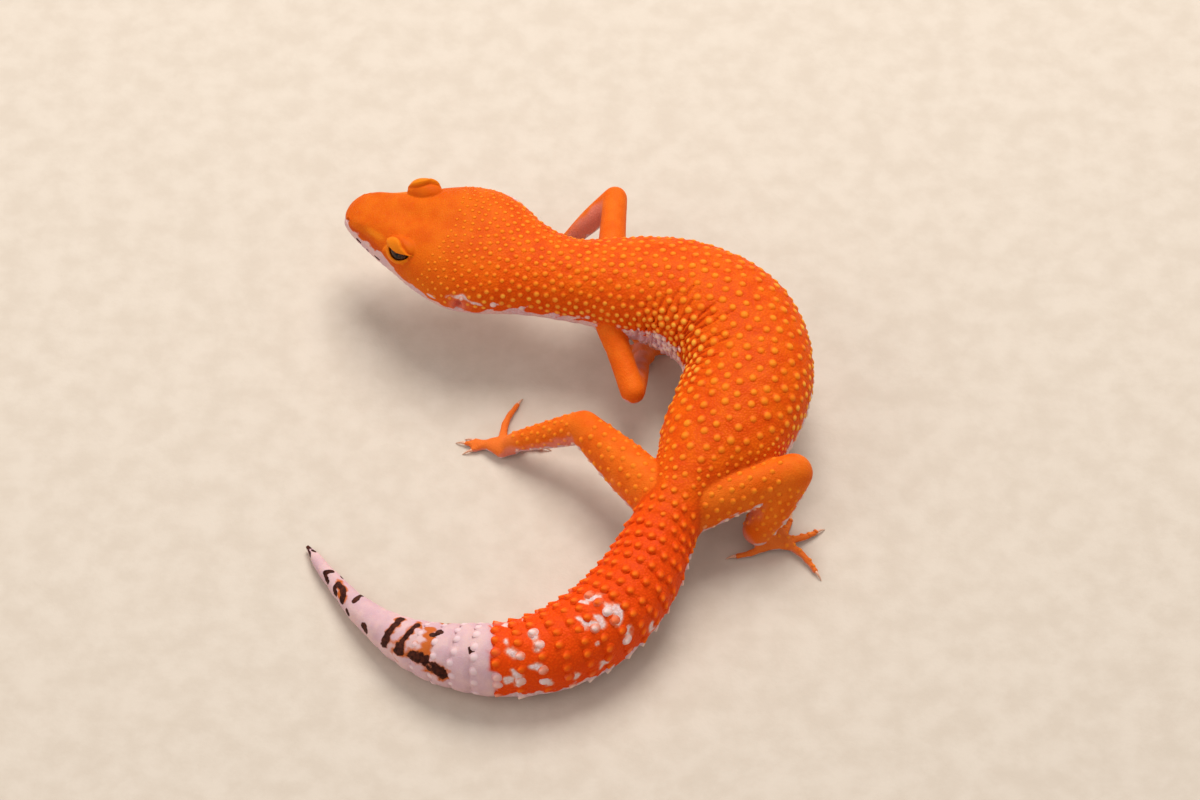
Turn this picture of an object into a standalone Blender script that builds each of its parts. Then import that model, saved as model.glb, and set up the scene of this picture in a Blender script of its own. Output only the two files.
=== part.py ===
"""A leopard gecko at life size, standing still with its body bent into a C and its tail swept round.

The flesh is a loft along one spine curve, parted into head, jaw, neck, trunk and tail by thin gaps.
The legs are tapered limbs that end in feet with five toes, and each toe has its claw.
Lengths are in millimetres here and in metres in the scene. The spine runs from the snout to the tail
tip, and a station is a distance along it from the snout. Left and right are the animal's own.
"""

import math

import bmesh
import bpy
import numpy as np
from mathutils import Matrix, Vector

MM = 0.001
GAP = 0.3  # between neighbouring solids
ORIGIN = np.array((-5.5, -11.5, 0.0))  # on the floor, below the middle of the animal's box

# Where the spine passes, from snout to tail tip. X is right, Y is away and Z is up from the floor.
SPINE = (
    (-41.5, 29.9, 13.3),
    (-31.6, 24.4, 14.2),
    (-21.3, 20.0, 14.6),
    (-13.1, 16.5, 14.4),
    (-5.7, 14.3, 14.0),
    (3.3, 13.4, 13.4),
    (13.2, 11.4, 13.2),
    (21.0, 5.8, 13.0),
    (24.0, -3.4, 12.6),
    (21.2, -13.2, 11.8),
    (16.6, -20.2, 10.8),
    (13.0, -26.6, 9.8),
    (10.0, -32.4, 9.0),
    (6.4, -40.7, 7.6),
    (-0.6, -49.3, 6.3),
    (-8.8, -53.9, 5.8),
    (-17.7, -54.9, 5.3),
    (-27.4, -52.2, 4.3),
    (-36.5, -44.8, 2.6),
    (-42.7, -36.5, 1.5),
    (-46.5, -30.3, 0.9),
)

# The body at each station: half its width, its rise above the spine and its drop below it.
PROFILE = (
    (0.0, 0.0, 0.0, 0.0),
    (0.4, 2.0, 1.2, 1.2),
    (1.2, 3.3, 1.9, 1.8),
    (2.8, 4.35, 2.6, 2.5),
    (5.5, 5.5, 3.5, 3.2),
    (8.5, 6.7, 4.4, 3.7),
    (12.0, 8.1, 5.0, 4.2),
    (16.0, 10.0, 5.5, 4.6),
    (20.0, 11.4, 5.8, 5.0),
    (24.0, 11.8, 5.9, 5.2),
    (28.0, 10.9, 5.9, 5.2),
    (32.0, 9.2, 5.8, 5.1),
    (37.0, 7.8, 5.7, 5.2),
    (42.0, 7.6, 5.9, 5.6),
    (48.0, 8.8, 6.5, 6.4),
    (57.0, 10.3, 7.2, 7.3),
    (67.0, 11.0, 7.7, 7.8),
    (77.0, 10.7, 7.8, 7.9),
    (87.0, 10.7, 7.5, 7.5),
    (94.0, 9.9, 6.9, 6.8),
    (100.0, 7.2, 6.3, 6.2),
    (106.0, 5.9, 5.6, 5.5),
    (112.0, 5.7, 5.3, 5.2),
    (118.0, 6.3, 5.7, 5.4),
    (126.0, 6.9, 6.1, 5.8),
    (134.0, 6.9, 6.1, 6.1),
    (142.0, 6.4, 5.7, 5.9),
    (150.0, 5.6, 5.2, 5.3),
    (160.0, 4.25, 4.0, 4.3),
    (170.0, 2.65, 2.5, 2.7),
    (180.0, 1.5, 1.45, 1.6),
    (187.0, 0.95, 0.95, 1.0),
    (190.0, 0.4, 0.4, 0.5),
)
BODY_LENGTH = PROFILE[-1][0]
SPINE_STEP = 0.5  # the spine's direction is taken over this length before and behind a station
ROLL = ((0.0, 5.0), (28.0, 5.0), (44.0, 0.0), (BODY_LENGTH, 0.0))  # degrees, the left side down
SNOUT_CROWDING = 1.5
TOP_FULLNESS = 0.9  # below 1 a section is squarer than an ellipse
BELLY_FULLNESS = 0.8

# The lengths that the body is divided into: name, last station, rings and points round.
LENGTHS = (
    ("head", 30.0, 20, 22),
    ("neck", 44.0, 6, 20),
    ("trunk_front", 64.0, 9, 22),
    ("trunk_middle", 86.0, 11, 22),
    ("trunk_rear", 110.0, 11, 22),
    ("tail_base", 126.0, 7, 18),
    ("tail_front", 144.0, 8, 18),
    ("tail_middle", 164.0, 8, 16),
    ("tail_tip", BODY_LENGTH, 9, 12),
)

EYE_STATION = 12.9
EYE_SKEW = 0.7  # how far the left eye lies behind this station, and the right one before it
EYE_SIDE = 5.9
EYE_RISE = 2.9
EYE_RADIUS = 2.1
EYE_FORWARD = 0.0  # degrees that an eye looks forward from straight sideways
LID_SIZE = (3.8, 2.8, 2.75)  # the lid's dome: half its length, width and height
LID_SLIT = (2.0, 1.4, 0.9)  # the opening between the lids: half its length, depth and height
LID_SLIT_REACH = 0.35  # how far outside the eyeball the opening is centred
LID_SLIT_DROP = 0.5
LID_SLIT_TILT = 6.0

JAW_STATION = 19.0  # how far back the jaw reaches
MOUTH_DROP = (0.5, 1.4)  # the mouth's depth below the spine at the snout and at the jaw's end
JAW_SPACE = (30.0, 10.0)  # width and depth of the block that takes in the whole jaw

EAR_STATION = 26.6
EAR_SIDE = 11.2
EAR_RISE = 0.2
EAR_RADIUS = 1.3

# Each leg's joints from the body outwards, its radii from joint to joint, and its foot.
# A toe is a turn from the foot's heading and a reach from the palm, both seen from above.
FRONT_TOES = ((55.0, 5.6), (28.0, 6.8), (0.0, 7.4), (-30.0, 7.0), (-62.0, 5.2))
LEGS = {
    "front_left": {
        "joints": ((1.0, 8.8, 11.5), (5.3, -4.5, 8.0), (6.8, 6.0, 2.6)),
        "upper_radii": (2.8, 2.2, 2.2),
        "lower_radii": (2.2, 2.0, 1.5),
        "palm": (6.9, 7.9),
        "heading": 83.0,
        "toes": FRONT_TOES,
    },
    "front_right": {
        "joints": ((1.6, 16.5, 11.5), (2.5, 34.4, 10.5), (-5.4, 31.4, 3.0)),
        "upper_radii": (3.0, 2.4, 2.2),
        "lower_radii": (2.2, 2.1, 1.5),
        "palm": (-6.9, 30.6),
        "heading": 190.0,
        "toes": FRONT_TOES,
    },
    "hind_left": {
        "joints": ((11.6, -29.4, 9.2), (-2.6, -12.8, 9.3), (-13.6, -10.9, 3.0)),
        "upper_radii": (4.8, 4.1, 2.9),
        "lower_radii": (2.9, 2.4, 1.8),
        "palm": (-15.6, -10.6),
        "heading": 167.0,
        "toes": ((-90.0, 10.0), (-8.0, 5.6), (1.0, 6.8), (14.0, 5.6), (-162.0, 6.6)),
    },
    "hind_right": {
        "joints": ((14.4, -28.4, 9.2), (30.5, -23.7, 11.6), (25.0, -29.0, 3.6)),
        "upper_radii": (4.7, 3.7, 3.3),
        "lower_radii": (3.3, 3.4, 2.6),
        "palm": (27.9, -29.0),
        "heading": -25.0,
        "toes": ((120.0, 6.6), (84.0, 5.4), (40.0, 7.3), (-18.0, 9.1), (-130.0, 7.4)),
    },
}
LIMB_SIDES = 10
TOE_RADII = (1.0, 0.75, 0.6)
TOE_SIDES = 6
TOE_START = 1.2  # from the palm's middle
TOE_HEIGHT = 0.5
TOE_START_HEIGHT = 0.8
PALM_SIZE = (2.9, 2.6, 1.7)
PALM_HEIGHT = 1.3
CLAW_LENGTH = 1.2
CLAW_RADIUS = 0.3
CLAW_TIP_RADIUS = 0.09
CLAW_DROOP = 8.0
BODY_SPACE_RINGS = 90
BODY_SPACE_SIDES = 24
FLOOR_BLOCK = (200.0, 200.0, 10.0)


def smooth_through(places, values, at):
    """Rows of values on a smooth curve through the given ones, read at the given places."""
    places = np.asarray(places, float)
    values = np.asarray(values, float).reshape(len(places), -1)
    slopes = np.gradient(values, places, axis=0)
    at = np.clip(np.atleast_1d(at), places[0], places[-1])
    span = np.clip(np.searchsorted(places, at, side="right") - 1, 0, len(places) - 2)
    width = (places[span + 1] - places[span])[:, None]
    part = (at - places[span])[:, None] / width
    rest = 1.0 - part
    return (
        values[span] * rest**2 * (1.0 + 2.0 * part)
        + values[span + 1] * part**2 * (3.0 - 2.0 * part)
        + slopes[span] * width * part * rest**2
        - slopes[span + 1] * width * part**2 * rest
    )


def spine_table():
    """Close points of the spine and their stations."""
    points = np.array(SPINE)
    chords = np.linalg.norm(np.diff(points, axis=0), axis=1)
    places = np.concatenate([[0.0], np.cumsum(chords)])
    fine = smooth_through(places, points, np.linspace(0.0, places[-1], 2001))
    steps = np.linalg.norm(np.diff(fine, axis=0), axis=1)
    stations = np.concatenate([[0.0], np.cumsum(steps)])
    return stations * BODY_LENGTH / stations[-1], fine


SPINE_STATIONS, SPINE_POINTS = spine_table()


def spine_at(station):
    """The spine's point at a station, with its backward, leftward and upward directions there."""
    before, point, after = (
        np.array([np.interp(place, SPINE_STATIONS, SPINE_POINTS[:, axis]) for axis in range(3)])
        for place in (station - SPINE_STEP, station, station + SPINE_STEP)
    )
    back = (after - before) / np.linalg.norm(after - before)
    level = np.cross(back, (0.0, 0.0, 1.0))
    level /= np.linalg.norm(level)
    upright = np.cross(level, back)
    roll = math.radians(smooth_through([row[0] for row in ROLL], [row[1] for row in ROLL], station)[0, 0])
    left = level * math.cos(roll) - upright * math.sin(roll)
    return point, back, left, np.cross(left, back)


def by_the_spine(station, leftward, upward):
    """A point beside the spine."""
    point, _, left, up = spine_at(station)
    return point + left * leftward + up * upward


def body_ring(station, around, grow):
    """The body's outline at a station. It starts at the back and runs leftwards round the belly."""
    places = [row[0] for row in PROFILE]
    half_width, rise, drop = smooth_through(places, [row[1:] for row in PROFILE], station)[0] + grow
    ring = []
    for index in range(around):
        turn = 2.0 * math.pi * index / around
        height = math.cos(turn)
        if height > 0.0:
            upward = rise * height**TOP_FULLNESS
        else:
            upward = -drop * abs(height) ** BELLY_FULLNESS
        point = by_the_spine(station, half_width * math.sin(turn), upward)
        point[2] = max(point[2], -grow)
        ring.append(point)
    return ring


def body_rings(first, last, count, around, grow=0.0):
    """Rings of a length of the body. They crowd towards the snout where the length starts there."""
    crowding = SNOUT_CROWDING if first == 0.0 else 1.0
    stations = first + (last - first) * np.linspace(0.0, 1.0, count) ** crowding
    rings = [body_ring(station, around, grow) for station in stations]
    if first == 0.0:
        rings[0] = [by_the_spine(0.0, 0.0, 0.0)]
    return rings


def limb_rings(start, end, radii, sides, grow=0.0, cap_steps=3):
    """Rings of a straight limb with a smooth taper and two round ends."""
    start = np.asarray(start, float)
    along = np.asarray(end, float) - start
    length = np.linalg.norm(along)
    along /= length
    side = np.cross(along, (0.0, 0.0, 1.0))
    side /= np.linalg.norm(side)
    over = np.cross(side, along)
    radii = np.array(radii) + grow
    turns = [math.pi / 2.0 * index / cap_steps for index in range(cap_steps + 1)]
    outline = [(-math.cos(turn) * radii[0], math.sin(turn) * radii[0]) for turn in turns]
    for part in (0.25, 0.5, 0.75):
        outline.append((part * length, smooth_through((0.0, 0.5, 1.0), radii, part)[0, 0]))
    end_turns = reversed(turns)
    outline += [(length + math.cos(turn) * radii[2], math.sin(turn) * radii[2]) for turn in end_turns]
    rings = []
    for place, radius in outline:
        centre = start + along * place
        if radius < 0.001:
            rings.append([centre])
            continue
        angles = [2.0 * math.pi * (index + 0.5) / sides for index in range(sides)]
        rings.append([centre + (side * math.cos(a) + over * math.sin(a)) * radius for a in angles])
    return rings


def loft(rings):
    """A closed mesh through rings of points. A ring of one point is a tip, and others end flat."""
    mesh = bmesh.new()
    rows = [[mesh.verts.new(Vector(point - ORIGIN) * MM) for point in ring] for ring in rings]
    for row, following in zip(rows, rows[1:]):
        for index in range(max(len(row), len(following))):
            corners = (
                row[index % len(row)],
                row[(index + 1) % len(row)],
                following[(index + 1) % len(following)],
                following[index % len(following)],
            )
            mesh.faces.new(list(dict.fromkeys(corners)))
    for row in (rows[0], rows[-1]):
        if len(row) > 1:
            mesh.faces.new(row)
    bmesh.ops.recalc_face_normals(mesh, faces=mesh.faces)
    return mesh


def place_mesh(mesh, centre, sizes=(1.0, 1.0, 1.0), axes=None):
    """Stretches a mesh made at the origin, turns its X and Y to the given axes and moves it."""
    bmesh.ops.scale(mesh, vec=sizes, verts=mesh.verts)
    if axes is not None:
        first, second = Vector(axes[0]), Vector(axes[1])
        turn = Matrix((first, second, first.cross(second))).transposed()
        bmesh.ops.transform(mesh, matrix=turn.to_4x4(), verts=mesh.verts)
    bmesh.ops.translate(mesh, vec=Vector(centre - ORIGIN), verts=mesh.verts)
    bmesh.ops.scale(mesh, vec=(MM, MM, MM), verts=mesh.verts)
    return mesh


def ball(centre, sizes, segments=20, axes=None):
    mesh = bmesh.new()
    bmesh.ops.create_uvsphere(mesh, u_segments=segments, v_segments=segments // 2, radius=1.0)
    return place_mesh(mesh, np.asarray(centre, float), sizes, axes)


def block(centre, sizes, axes=None):
    mesh = bmesh.new()
    bmesh.ops.create_cube(mesh, size=1.0)
    return place_mesh(mesh, np.asarray(centre, float), sizes, axes)


def add_object(name, mesh, collection, material=None):
    data = bpy.data.meshes.new(name)
    mesh.to_mesh(data)
    mesh.free()
    data.shade_smooth()
    data.set_sharp_from_angle(angle=math.radians(40.0))
    added = bpy.data.objects.new(name, data)
    collection.objects.link(added)
    if material:
        data.materials.append(material)
    else:
        added.hide_render = True
        added.display_type = "WIRE"
    return added


def combine(solid, operation, other):
    change = solid.modifiers.new(other.name, "BOOLEAN")
    change.operation = operation
    change.object = other


def principled(name, colour, roughness):
    material = bpy.data.materials.new(name)
    material.use_nodes = True
    shader = material.node_tree.nodes["Principled BSDF"]
    shader.inputs["Base Color"].default_value = (*colour, 1.0)
    shader.inputs["Roughness"].default_value = roughness
    return material


def make_body(parts, skin):
    """The body's lengths, parted across the spine."""
    first = 0.0
    solids = {}
    for name, last, count, around in LENGTHS:
        start = first + GAP / 2.0 if first > 0.0 else first
        stop = last - GAP / 2.0 if last < BODY_LENGTH else last
        solids[name] = add_object(name, loft(body_rings(start, stop, count, around)), parts, skin)
        first = last
    return solids


def make_jaw(head, parts, cutters, skin):
    """The lower jaw, parted from the head along the mouth and behind the mouth's corners."""
    jaw = add_object("jaw", loft(body_rings(0.0, *LENGTHS[0][1:])), parts, skin)
    snout = by_the_spine(0.0, 0.0, -MOUTH_DROP[0])
    rear = by_the_spine(JAW_STATION, 0.0, -MOUTH_DROP[1])
    along = (rear - snout) / np.linalg.norm(rear - snout)
    left = spine_at(JAW_STATION / 2.0)[2]
    left = left - along * np.dot(left, along)
    left /= np.linalg.norm(left)
    down = np.cross(along, left)
    front = snout - along
    length = np.linalg.norm(rear - front)
    width, depth = JAW_SPACE
    for name, solid, operation, extra in (
        ("jaw_space", jaw, "INTERSECT", 0.0),
        ("jaw_clearance", head, "DIFFERENCE", GAP),
    ):
        centre = (front + rear) / 2.0 + down * (depth - extra) / 2.0 + along * extra / 2.0
        sizes = (length + extra, width, depth + extra)
        combine(solid, operation, add_object(name, block(centre, sizes, (along, left)), cutters))


def eye_axes(side):
    """Backward, outward and upward directions of an eye, turned to look a little forward."""
    _, back, left, up = spine_at(EYE_STATION + EYE_SKEW * side)
    turn = math.radians(EYE_FORWARD)
    outward = left * side * math.cos(turn) - back * math.sin(turn)
    along = back * math.cos(turn) + left * side * math.sin(turn)
    return along, outward, up


def make_eye(word, side, head, parts, cutters, material):
    """An eyeball under a domed lid that opens outwards and a little down."""
    centre = by_the_spine(EYE_STATION + EYE_SKEW * side, EYE_SIDE * side, EYE_RISE)
    along, outward, up = eye_axes(side)
    lid = ball(centre, LID_SIZE, 18, (along, outward))
    combine(head, "UNION", add_object("lid_" + word, lid, cutters))
    socket = ball(centre, [EYE_RADIUS + GAP] * 3, 16)
    combine(head, "DIFFERENCE", add_object("socket_" + word, socket, cutters))
    tilt = math.radians(LID_SLIT_TILT)
    slit_along = along * math.cos(tilt) - up * math.sin(tilt)
    slit_centre = centre + outward * (EYE_RADIUS + LID_SLIT_REACH) - up * LID_SLIT_DROP
    slit = ball(slit_centre, LID_SLIT, 14, (slit_along, outward))
    combine(head, "DIFFERENCE", add_object("slit_" + word, slit, cutters))
    add_object("eye_" + word, ball(centre, [EYE_RADIUS] * 3, 16), parts, material)


def make_ear(word, side, head, cutters):
    centre = by_the_spine(EAR_STATION, EAR_SIDE * side, EAR_RISE)
    combine(head, "DIFFERENCE", add_object("ear_" + word, ball(centre, [EAR_RADIUS] * 3, 12), cutters))


def make_claw(name, tip, heading, parts, material):
    """A cone that leaves the toe's end with a small gap and droops a little."""
    droop = math.radians(CLAW_DROOP)
    along = np.array(
        (math.cos(heading) * math.cos(droop), math.sin(heading) * math.cos(droop), -math.sin(droop))
    )
    side = np.array((-math.sin(heading), math.cos(heading), 0.0))
    centre = tip + along * (TOE_RADII[2] + GAP + CLAW_LENGTH / 2.0)
    mesh = bmesh.new()
    bmesh.ops.create_cone(
        mesh,
        cap_ends=True,
        segments=8,
        radius1=CLAW_RADIUS,
        radius2=CLAW_TIP_RADIUS,
        depth=CLAW_LENGTH,
    )
    mesh = place_mesh(mesh, centre, axes=(side, np.cross(along, side)))
    add_object(name, mesh, parts, material)


def make_leg(leg, plan, parts, cutters, skin, claw, body_space, floor):
    """A leg's upper and lower limb, each clear of what it joins, and its foot with the claws."""
    shoulder, elbow, ankle = plan["joints"]
    upper = loft(limb_rings(shoulder, elbow, plan["upper_radii"], LIMB_SIDES))
    combine(add_object(leg + "_upper", upper, parts, skin), "DIFFERENCE", body_space)
    upper_space = loft(limb_rings(shoulder, elbow, plan["upper_radii"], LIMB_SIDES, GAP))
    upper_space = add_object(leg + "_upper_space", upper_space, cutters)
    lower = loft(limb_rings(elbow, ankle, plan["lower_radii"], LIMB_SIDES))
    lower = add_object(leg + "_lower", lower, parts, skin)
    combine(lower, "DIFFERENCE", upper_space)
    combine(lower, "DIFFERENCE", body_space)
    lower_space = loft(limb_rings(elbow, ankle, plan["lower_radii"], LIMB_SIDES, GAP))
    lower_space = add_object(leg + "_lower_space", lower_space, cutters)

    palm = np.array((*plan["palm"], PALM_HEIGHT))
    heading = math.radians(plan["heading"])
    axes = (
        (math.cos(heading), math.sin(heading), 0.0),
        (-math.sin(heading), math.cos(heading), 0.0),
    )
    foot = add_object(leg + "_foot", ball(palm, PALM_SIZE, 12, axes), parts, skin)
    for number, (turn, reach) in enumerate(plan["toes"], 1):
        aim = heading + math.radians(turn)
        stretch = np.array((math.cos(aim), math.sin(aim), 0.0))
        start = palm + stretch * TOE_START
        tip = palm + stretch * (reach - TOE_RADII[2])
        start[2] = TOE_START_HEIGHT
        tip[2] = TOE_HEIGHT
        toe = loft(limb_rings(start, tip, TOE_RADII, TOE_SIDES, cap_steps=2))
        combine(foot, "UNION", add_object(f"{leg}_toe_{number}", toe, cutters))
        make_claw(f"{leg}_claw_{number}", tip, aim, parts, claw)
    combine(foot, "DIFFERENCE", lower_space)
    combine(foot, "DIFFERENCE", floor)


def build():
    for old in list(bpy.data.objects):
        bpy.data.objects.remove(old)
    parts = bpy.data.collections.new("leopard_gecko")
    cutters = bpy.data.collections.new("cutters")
    bpy.context.scene.collection.children.link(parts)
    bpy.context.scene.collection.children.link(cutters)
    skin = principled("skin", (0.95, 0.22, 0.02), 0.5)
    eye = principled("eye", (0.03, 0.02, 0.015), 0.08)
    claw = principled("claw", (0.5, 0.32, 0.2), 0.35)

    body = make_body(parts, skin)
    head = body["head"]
    for word, side in (("left", 1.0), ("right", -1.0)):
        make_eye(word, side, head, parts, cutters, eye)
        make_ear(word, side, head, cutters)
    make_jaw(head, parts, cutters, skin)

    body_space = loft(body_rings(0.0, BODY_LENGTH, BODY_SPACE_RINGS, BODY_SPACE_SIDES, GAP))
    body_space = add_object("body_space", body_space, cutters)
    floor = block((0.0, 0.0, -FLOOR_BLOCK[2] / 2.0), FLOOR_BLOCK)
    floor = add_object("floor_space", floor, cutters)
    for leg, plan in LEGS.items():
        make_leg(leg, plan, parts, cutters, skin, claw, body_space, floor)


build()
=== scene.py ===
"""The looks of the leopard gecko: one skin over the CAD flesh, its raised scales, eyes and claws.

The skin repeats the CAD body's spine and profile a coat's depth further in, with the face, the folds
and the tail's rings shaped on it. The limbs are blended into it, and the eyelids are joined on. Fields
over the skin, such as the belly's white or the tail's dark marks, are stored on its points, and the
raised scales copy the fields of the place they stand on, so both carry the same markings.
Shapes are made in millimetres and turned to metres at the end. A station is a distance along the
spine from the snout. A turn is an angle round the spine from the back, and it runs leftwards.
"""

import math

import bpy
import numpy as np
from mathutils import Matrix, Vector
from mathutils.kdtree import KDTree


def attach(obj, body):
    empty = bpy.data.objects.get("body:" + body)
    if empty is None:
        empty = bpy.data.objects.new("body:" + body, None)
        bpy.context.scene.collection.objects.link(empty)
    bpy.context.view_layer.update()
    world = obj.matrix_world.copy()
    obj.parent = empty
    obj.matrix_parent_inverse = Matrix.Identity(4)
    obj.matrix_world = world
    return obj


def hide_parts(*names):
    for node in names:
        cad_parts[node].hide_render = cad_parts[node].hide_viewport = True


MM = 0.001
ORIGIN = np.array((-5.5, -11.5, 0.0))
SEED = 7

# ---- The CAD body's sizes, in its own words

SPINE = (
    (-41.5, 29.9, 13.3),
    (-31.6, 24.4, 14.2),
    (-21.3, 20.0, 14.6),
    (-13.1, 16.5, 14.4),
    (-5.7, 14.3, 14.0),
    (3.3, 13.4, 13.4),
    (13.2, 11.4, 13.2),
    (21.0, 5.8, 13.0),
    (24.0, -3.4, 12.6),
    (21.2, -13.2, 11.8),
    (16.6, -20.2, 10.8),
    (13.0, -26.6, 9.8),
    (10.0, -32.4, 9.0),
    (6.4, -40.7, 7.6),
    (-0.6, -49.3, 6.3),
    (-8.8, -53.9, 5.8),
    (-17.7, -54.9, 5.3),
    (-27.4, -52.2, 4.3),
    (-36.5, -44.8, 2.6),
    (-42.7, -36.5, 1.5),
    (-46.5, -30.3, 0.9),
)
PROFILE = (
    (0.0, 0.0, 0.0, 0.0),
    (0.4, 2.0, 1.2, 1.2),
    (1.2, 3.3, 1.9, 1.8),
    (2.8, 4.35, 2.6, 2.5),
    (5.5, 5.5, 3.5, 3.2),
    (8.5, 6.7, 4.4, 3.7),
    (12.0, 8.1, 5.0, 4.2),
    (16.0, 10.0, 5.5, 4.6),
    (20.0, 11.4, 5.8, 5.0),
    (24.0, 11.8, 5.9, 5.2),
    (28.0, 10.9, 5.9, 5.2),
    (32.0, 9.2, 5.8, 5.1),
    (37.0, 7.8, 5.7, 5.2),
    (42.0, 7.6, 5.9, 5.6),
    (48.0, 8.8, 6.5, 6.4),
    (57.0, 10.3, 7.2, 7.3),
    (67.0, 11.0, 7.7, 7.8),
    (77.0, 10.7, 7.8, 7.9),
    (87.0, 10.7, 7.5, 7.5),
    (94.0, 9.9, 6.9, 6.8),
    (100.0, 7.2, 6.3, 6.2),
    (106.0, 5.9, 5.6, 5.5),
    (112.0, 5.7, 5.3, 5.2),
    (118.0, 6.3, 5.7, 5.4),
    (126.0, 6.9, 6.1, 5.8),
    (134.0, 6.9, 6.1, 6.1),
    (142.0, 6.4, 5.7, 5.9),
    (150.0, 5.6, 5.2, 5.3),
    (160.0, 4.25, 4.0, 4.3),
    (170.0, 2.65, 2.5, 2.7),
    (180.0, 1.5, 1.45, 1.6),
    (187.0, 0.95, 0.95, 1.0),
    (190.0, 0.4, 0.4, 0.5),
)
BODY_LENGTH = PROFILE[-1][0]
SPINE_STEP = 0.5
ROLL = ((0.0, 5.0), (28.0, 5.0), (44.0, 0.0), (BODY_LENGTH, 0.0))
TOP_FULLNESS = 0.9
BELLY_FULLNESS = 0.8
SIDE_ROUNDING = 0.02  # keeps the fullness from creasing the sides

EYE_STATION = 12.9
EYE_SKEW = 0.7  # how far the left eye lies behind this station, and the right one before it
EYE_SIDE = 5.9
EYE_RISE = 2.9
EYE_RADIUS = 2.1
LID_SIZE = (3.8, 2.8, 2.75)
MOUTH_DROP = (0.5, 1.4)
JAW_STATION = 19.0
EAR_STATION = 25.8
EAR_TURN = 86.0

FRONT_TOES = ((55.0, 5.6), (28.0, 6.8), (0.0, 7.4), (-30.0, 7.0), (-62.0, 5.2))
LEGS = {
    "front_left": {
        "joints": ((1.0, 8.8, 11.5), (5.3, -4.5, 8.0), (6.8, 6.0, 2.6)),
        "upper_radii": (2.8, 2.2, 2.2),
        "lower_radii": (2.2, 2.0, 1.5),
        "palm": (6.9, 7.9),
        "heading": 83.0,
        "toes": FRONT_TOES,
    },
    "front_right": {
        "joints": ((1.6, 16.5, 11.5), (2.5, 34.4, 10.5), (-5.4, 31.4, 3.0)),
        "upper_radii": (3.0, 2.4, 2.2),
        "lower_radii": (2.2, 2.1, 1.5),
        "palm": (-6.9, 30.6),
        "heading": 190.0,
        "toes": FRONT_TOES,
    },
    "hind_left": {
        "joints": ((11.6, -29.4, 9.2), (-2.6, -12.8, 9.3), (-13.6, -10.9, 3.0)),
        "upper_radii": (4.8, 4.1, 2.9),
        "lower_radii": (2.9, 2.4, 1.8),
        "palm": (-15.6, -10.6),
        "heading": 167.0,
        "toes": ((-90.0, 10.0), (-8.0, 5.6), (1.0, 6.8), (14.0, 5.6), (-162.0, 6.6)),
    },
    "hind_right": {
        "joints": ((14.4, -28.4, 9.2), (30.5, -23.7, 11.6), (25.0, -29.0, 3.6)),
        "upper_radii": (4.7, 3.7, 3.3),
        "lower_radii": (3.3, 3.4, 2.6),
        "palm": (27.9, -29.0),
        "heading": -25.0,
        "toes": ((120.0, 6.6), (84.0, 5.4), (40.0, 7.3), (-18.0, 9.1), (-130.0, 7.4)),
    },
}
TOE_TIP_RADIUS = 0.6
TOE_HEIGHT = 0.5
PALM_LENGTH = 2.9
PALM_HEIGHT = 1.3
CLAW_GAP = 0.3
CLAW_LENGTH = 1.2

FLESH = (
    ["head", "jaw", "neck", "trunk_front", "trunk_middle", "trunk_rear"]
    + ["tail_base", "tail_front", "tail_middle", "tail_tip"]
    + [f"{leg}_{part}" for leg in LEGS for part in ("upper", "lower", "foot")]
)

# ---- The skin's own sizes

SMOOTH_DEPTH = 0.12  # the coat's depth on the face, belly and limbs
SCALED_DEPTH = 0.42  # and where raised scales stand
FLOOR_CLEARANCE = 0.03
TURNS = 112
# The grid's stations lie this far apart, read between these places.
STATION_STEPS = (
    ((0.0, 0.05), (1.0, 0.2), (3.0, 0.27), (29.0, 0.27), (34.0, 0.45), (48.0, 0.45), (52.0, 0.27))
    + ((88.0, 0.27), (92.0, 0.5), (104.0, 0.4), (156.0, 0.36), (170.0, 0.4), (BODY_LENGTH, 0.4))
)
FIRST_STATION = 0.03
LAST_STEP = 0.3
LIMB_VOXEL = 0.32
TOE_STEPS = 19
TOE_BEND = 0.09
TOE_RADII = (0.92, 0.5)  # at the foot and near the tip
TOE_ROOT_HEIGHT = 0.95
WRIST_RADII = (1.6, 1.4)
PAD_RADII = (1.3, 2.3, 1.5)  # of the sole's pad, from its rear end to its front
PAD_FLATNESS = 0.6

WRINKLE_PITCH = 1.9  # the pitch of the wrinkles inside the body's bend
TAIL_START = 108.0
TAIL_RINGS = ((108.0, 126.0, 142.0), (2.1, 2.6, 3.0))  # stations and the lengths of the rings there
PALE_TAIL_START = 148.6
SCALED_TAIL_END = PALE_TAIL_START + 14.0

# Swellings of the head, or hollows if below 0: height, station, turn, and sizes along, across and up.
FACE_SHAPES = (
    (-0.7, 12.6, 0.0, (4.6, 2.6, 3.0)),  # between the eyes
    (-0.2, 6.5, 0.0, (4.0, 2.2, 3.0)),  # along the top of the snout
    (0.22, 4.6, 42.0, (3.0, 0.9, 0.9)),  # the snout's edges
    (-0.3, 6.6, 66.0, (2.2, 1.6, 1.1)),  # below them, before the eyes
    (0.3, 20.5, 36.0, (4.0, 3.0, 3.0)),  # behind the eyes
    (-0.15, 20.0, 0.0, (6.0, 1.4, 3.0)),  # along the middle of the head's back
)
NOSTRIL = (1.9, 56.0)  # station and turn
EAR_SIZE = (0.75, 1.6, 1.15)

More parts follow.
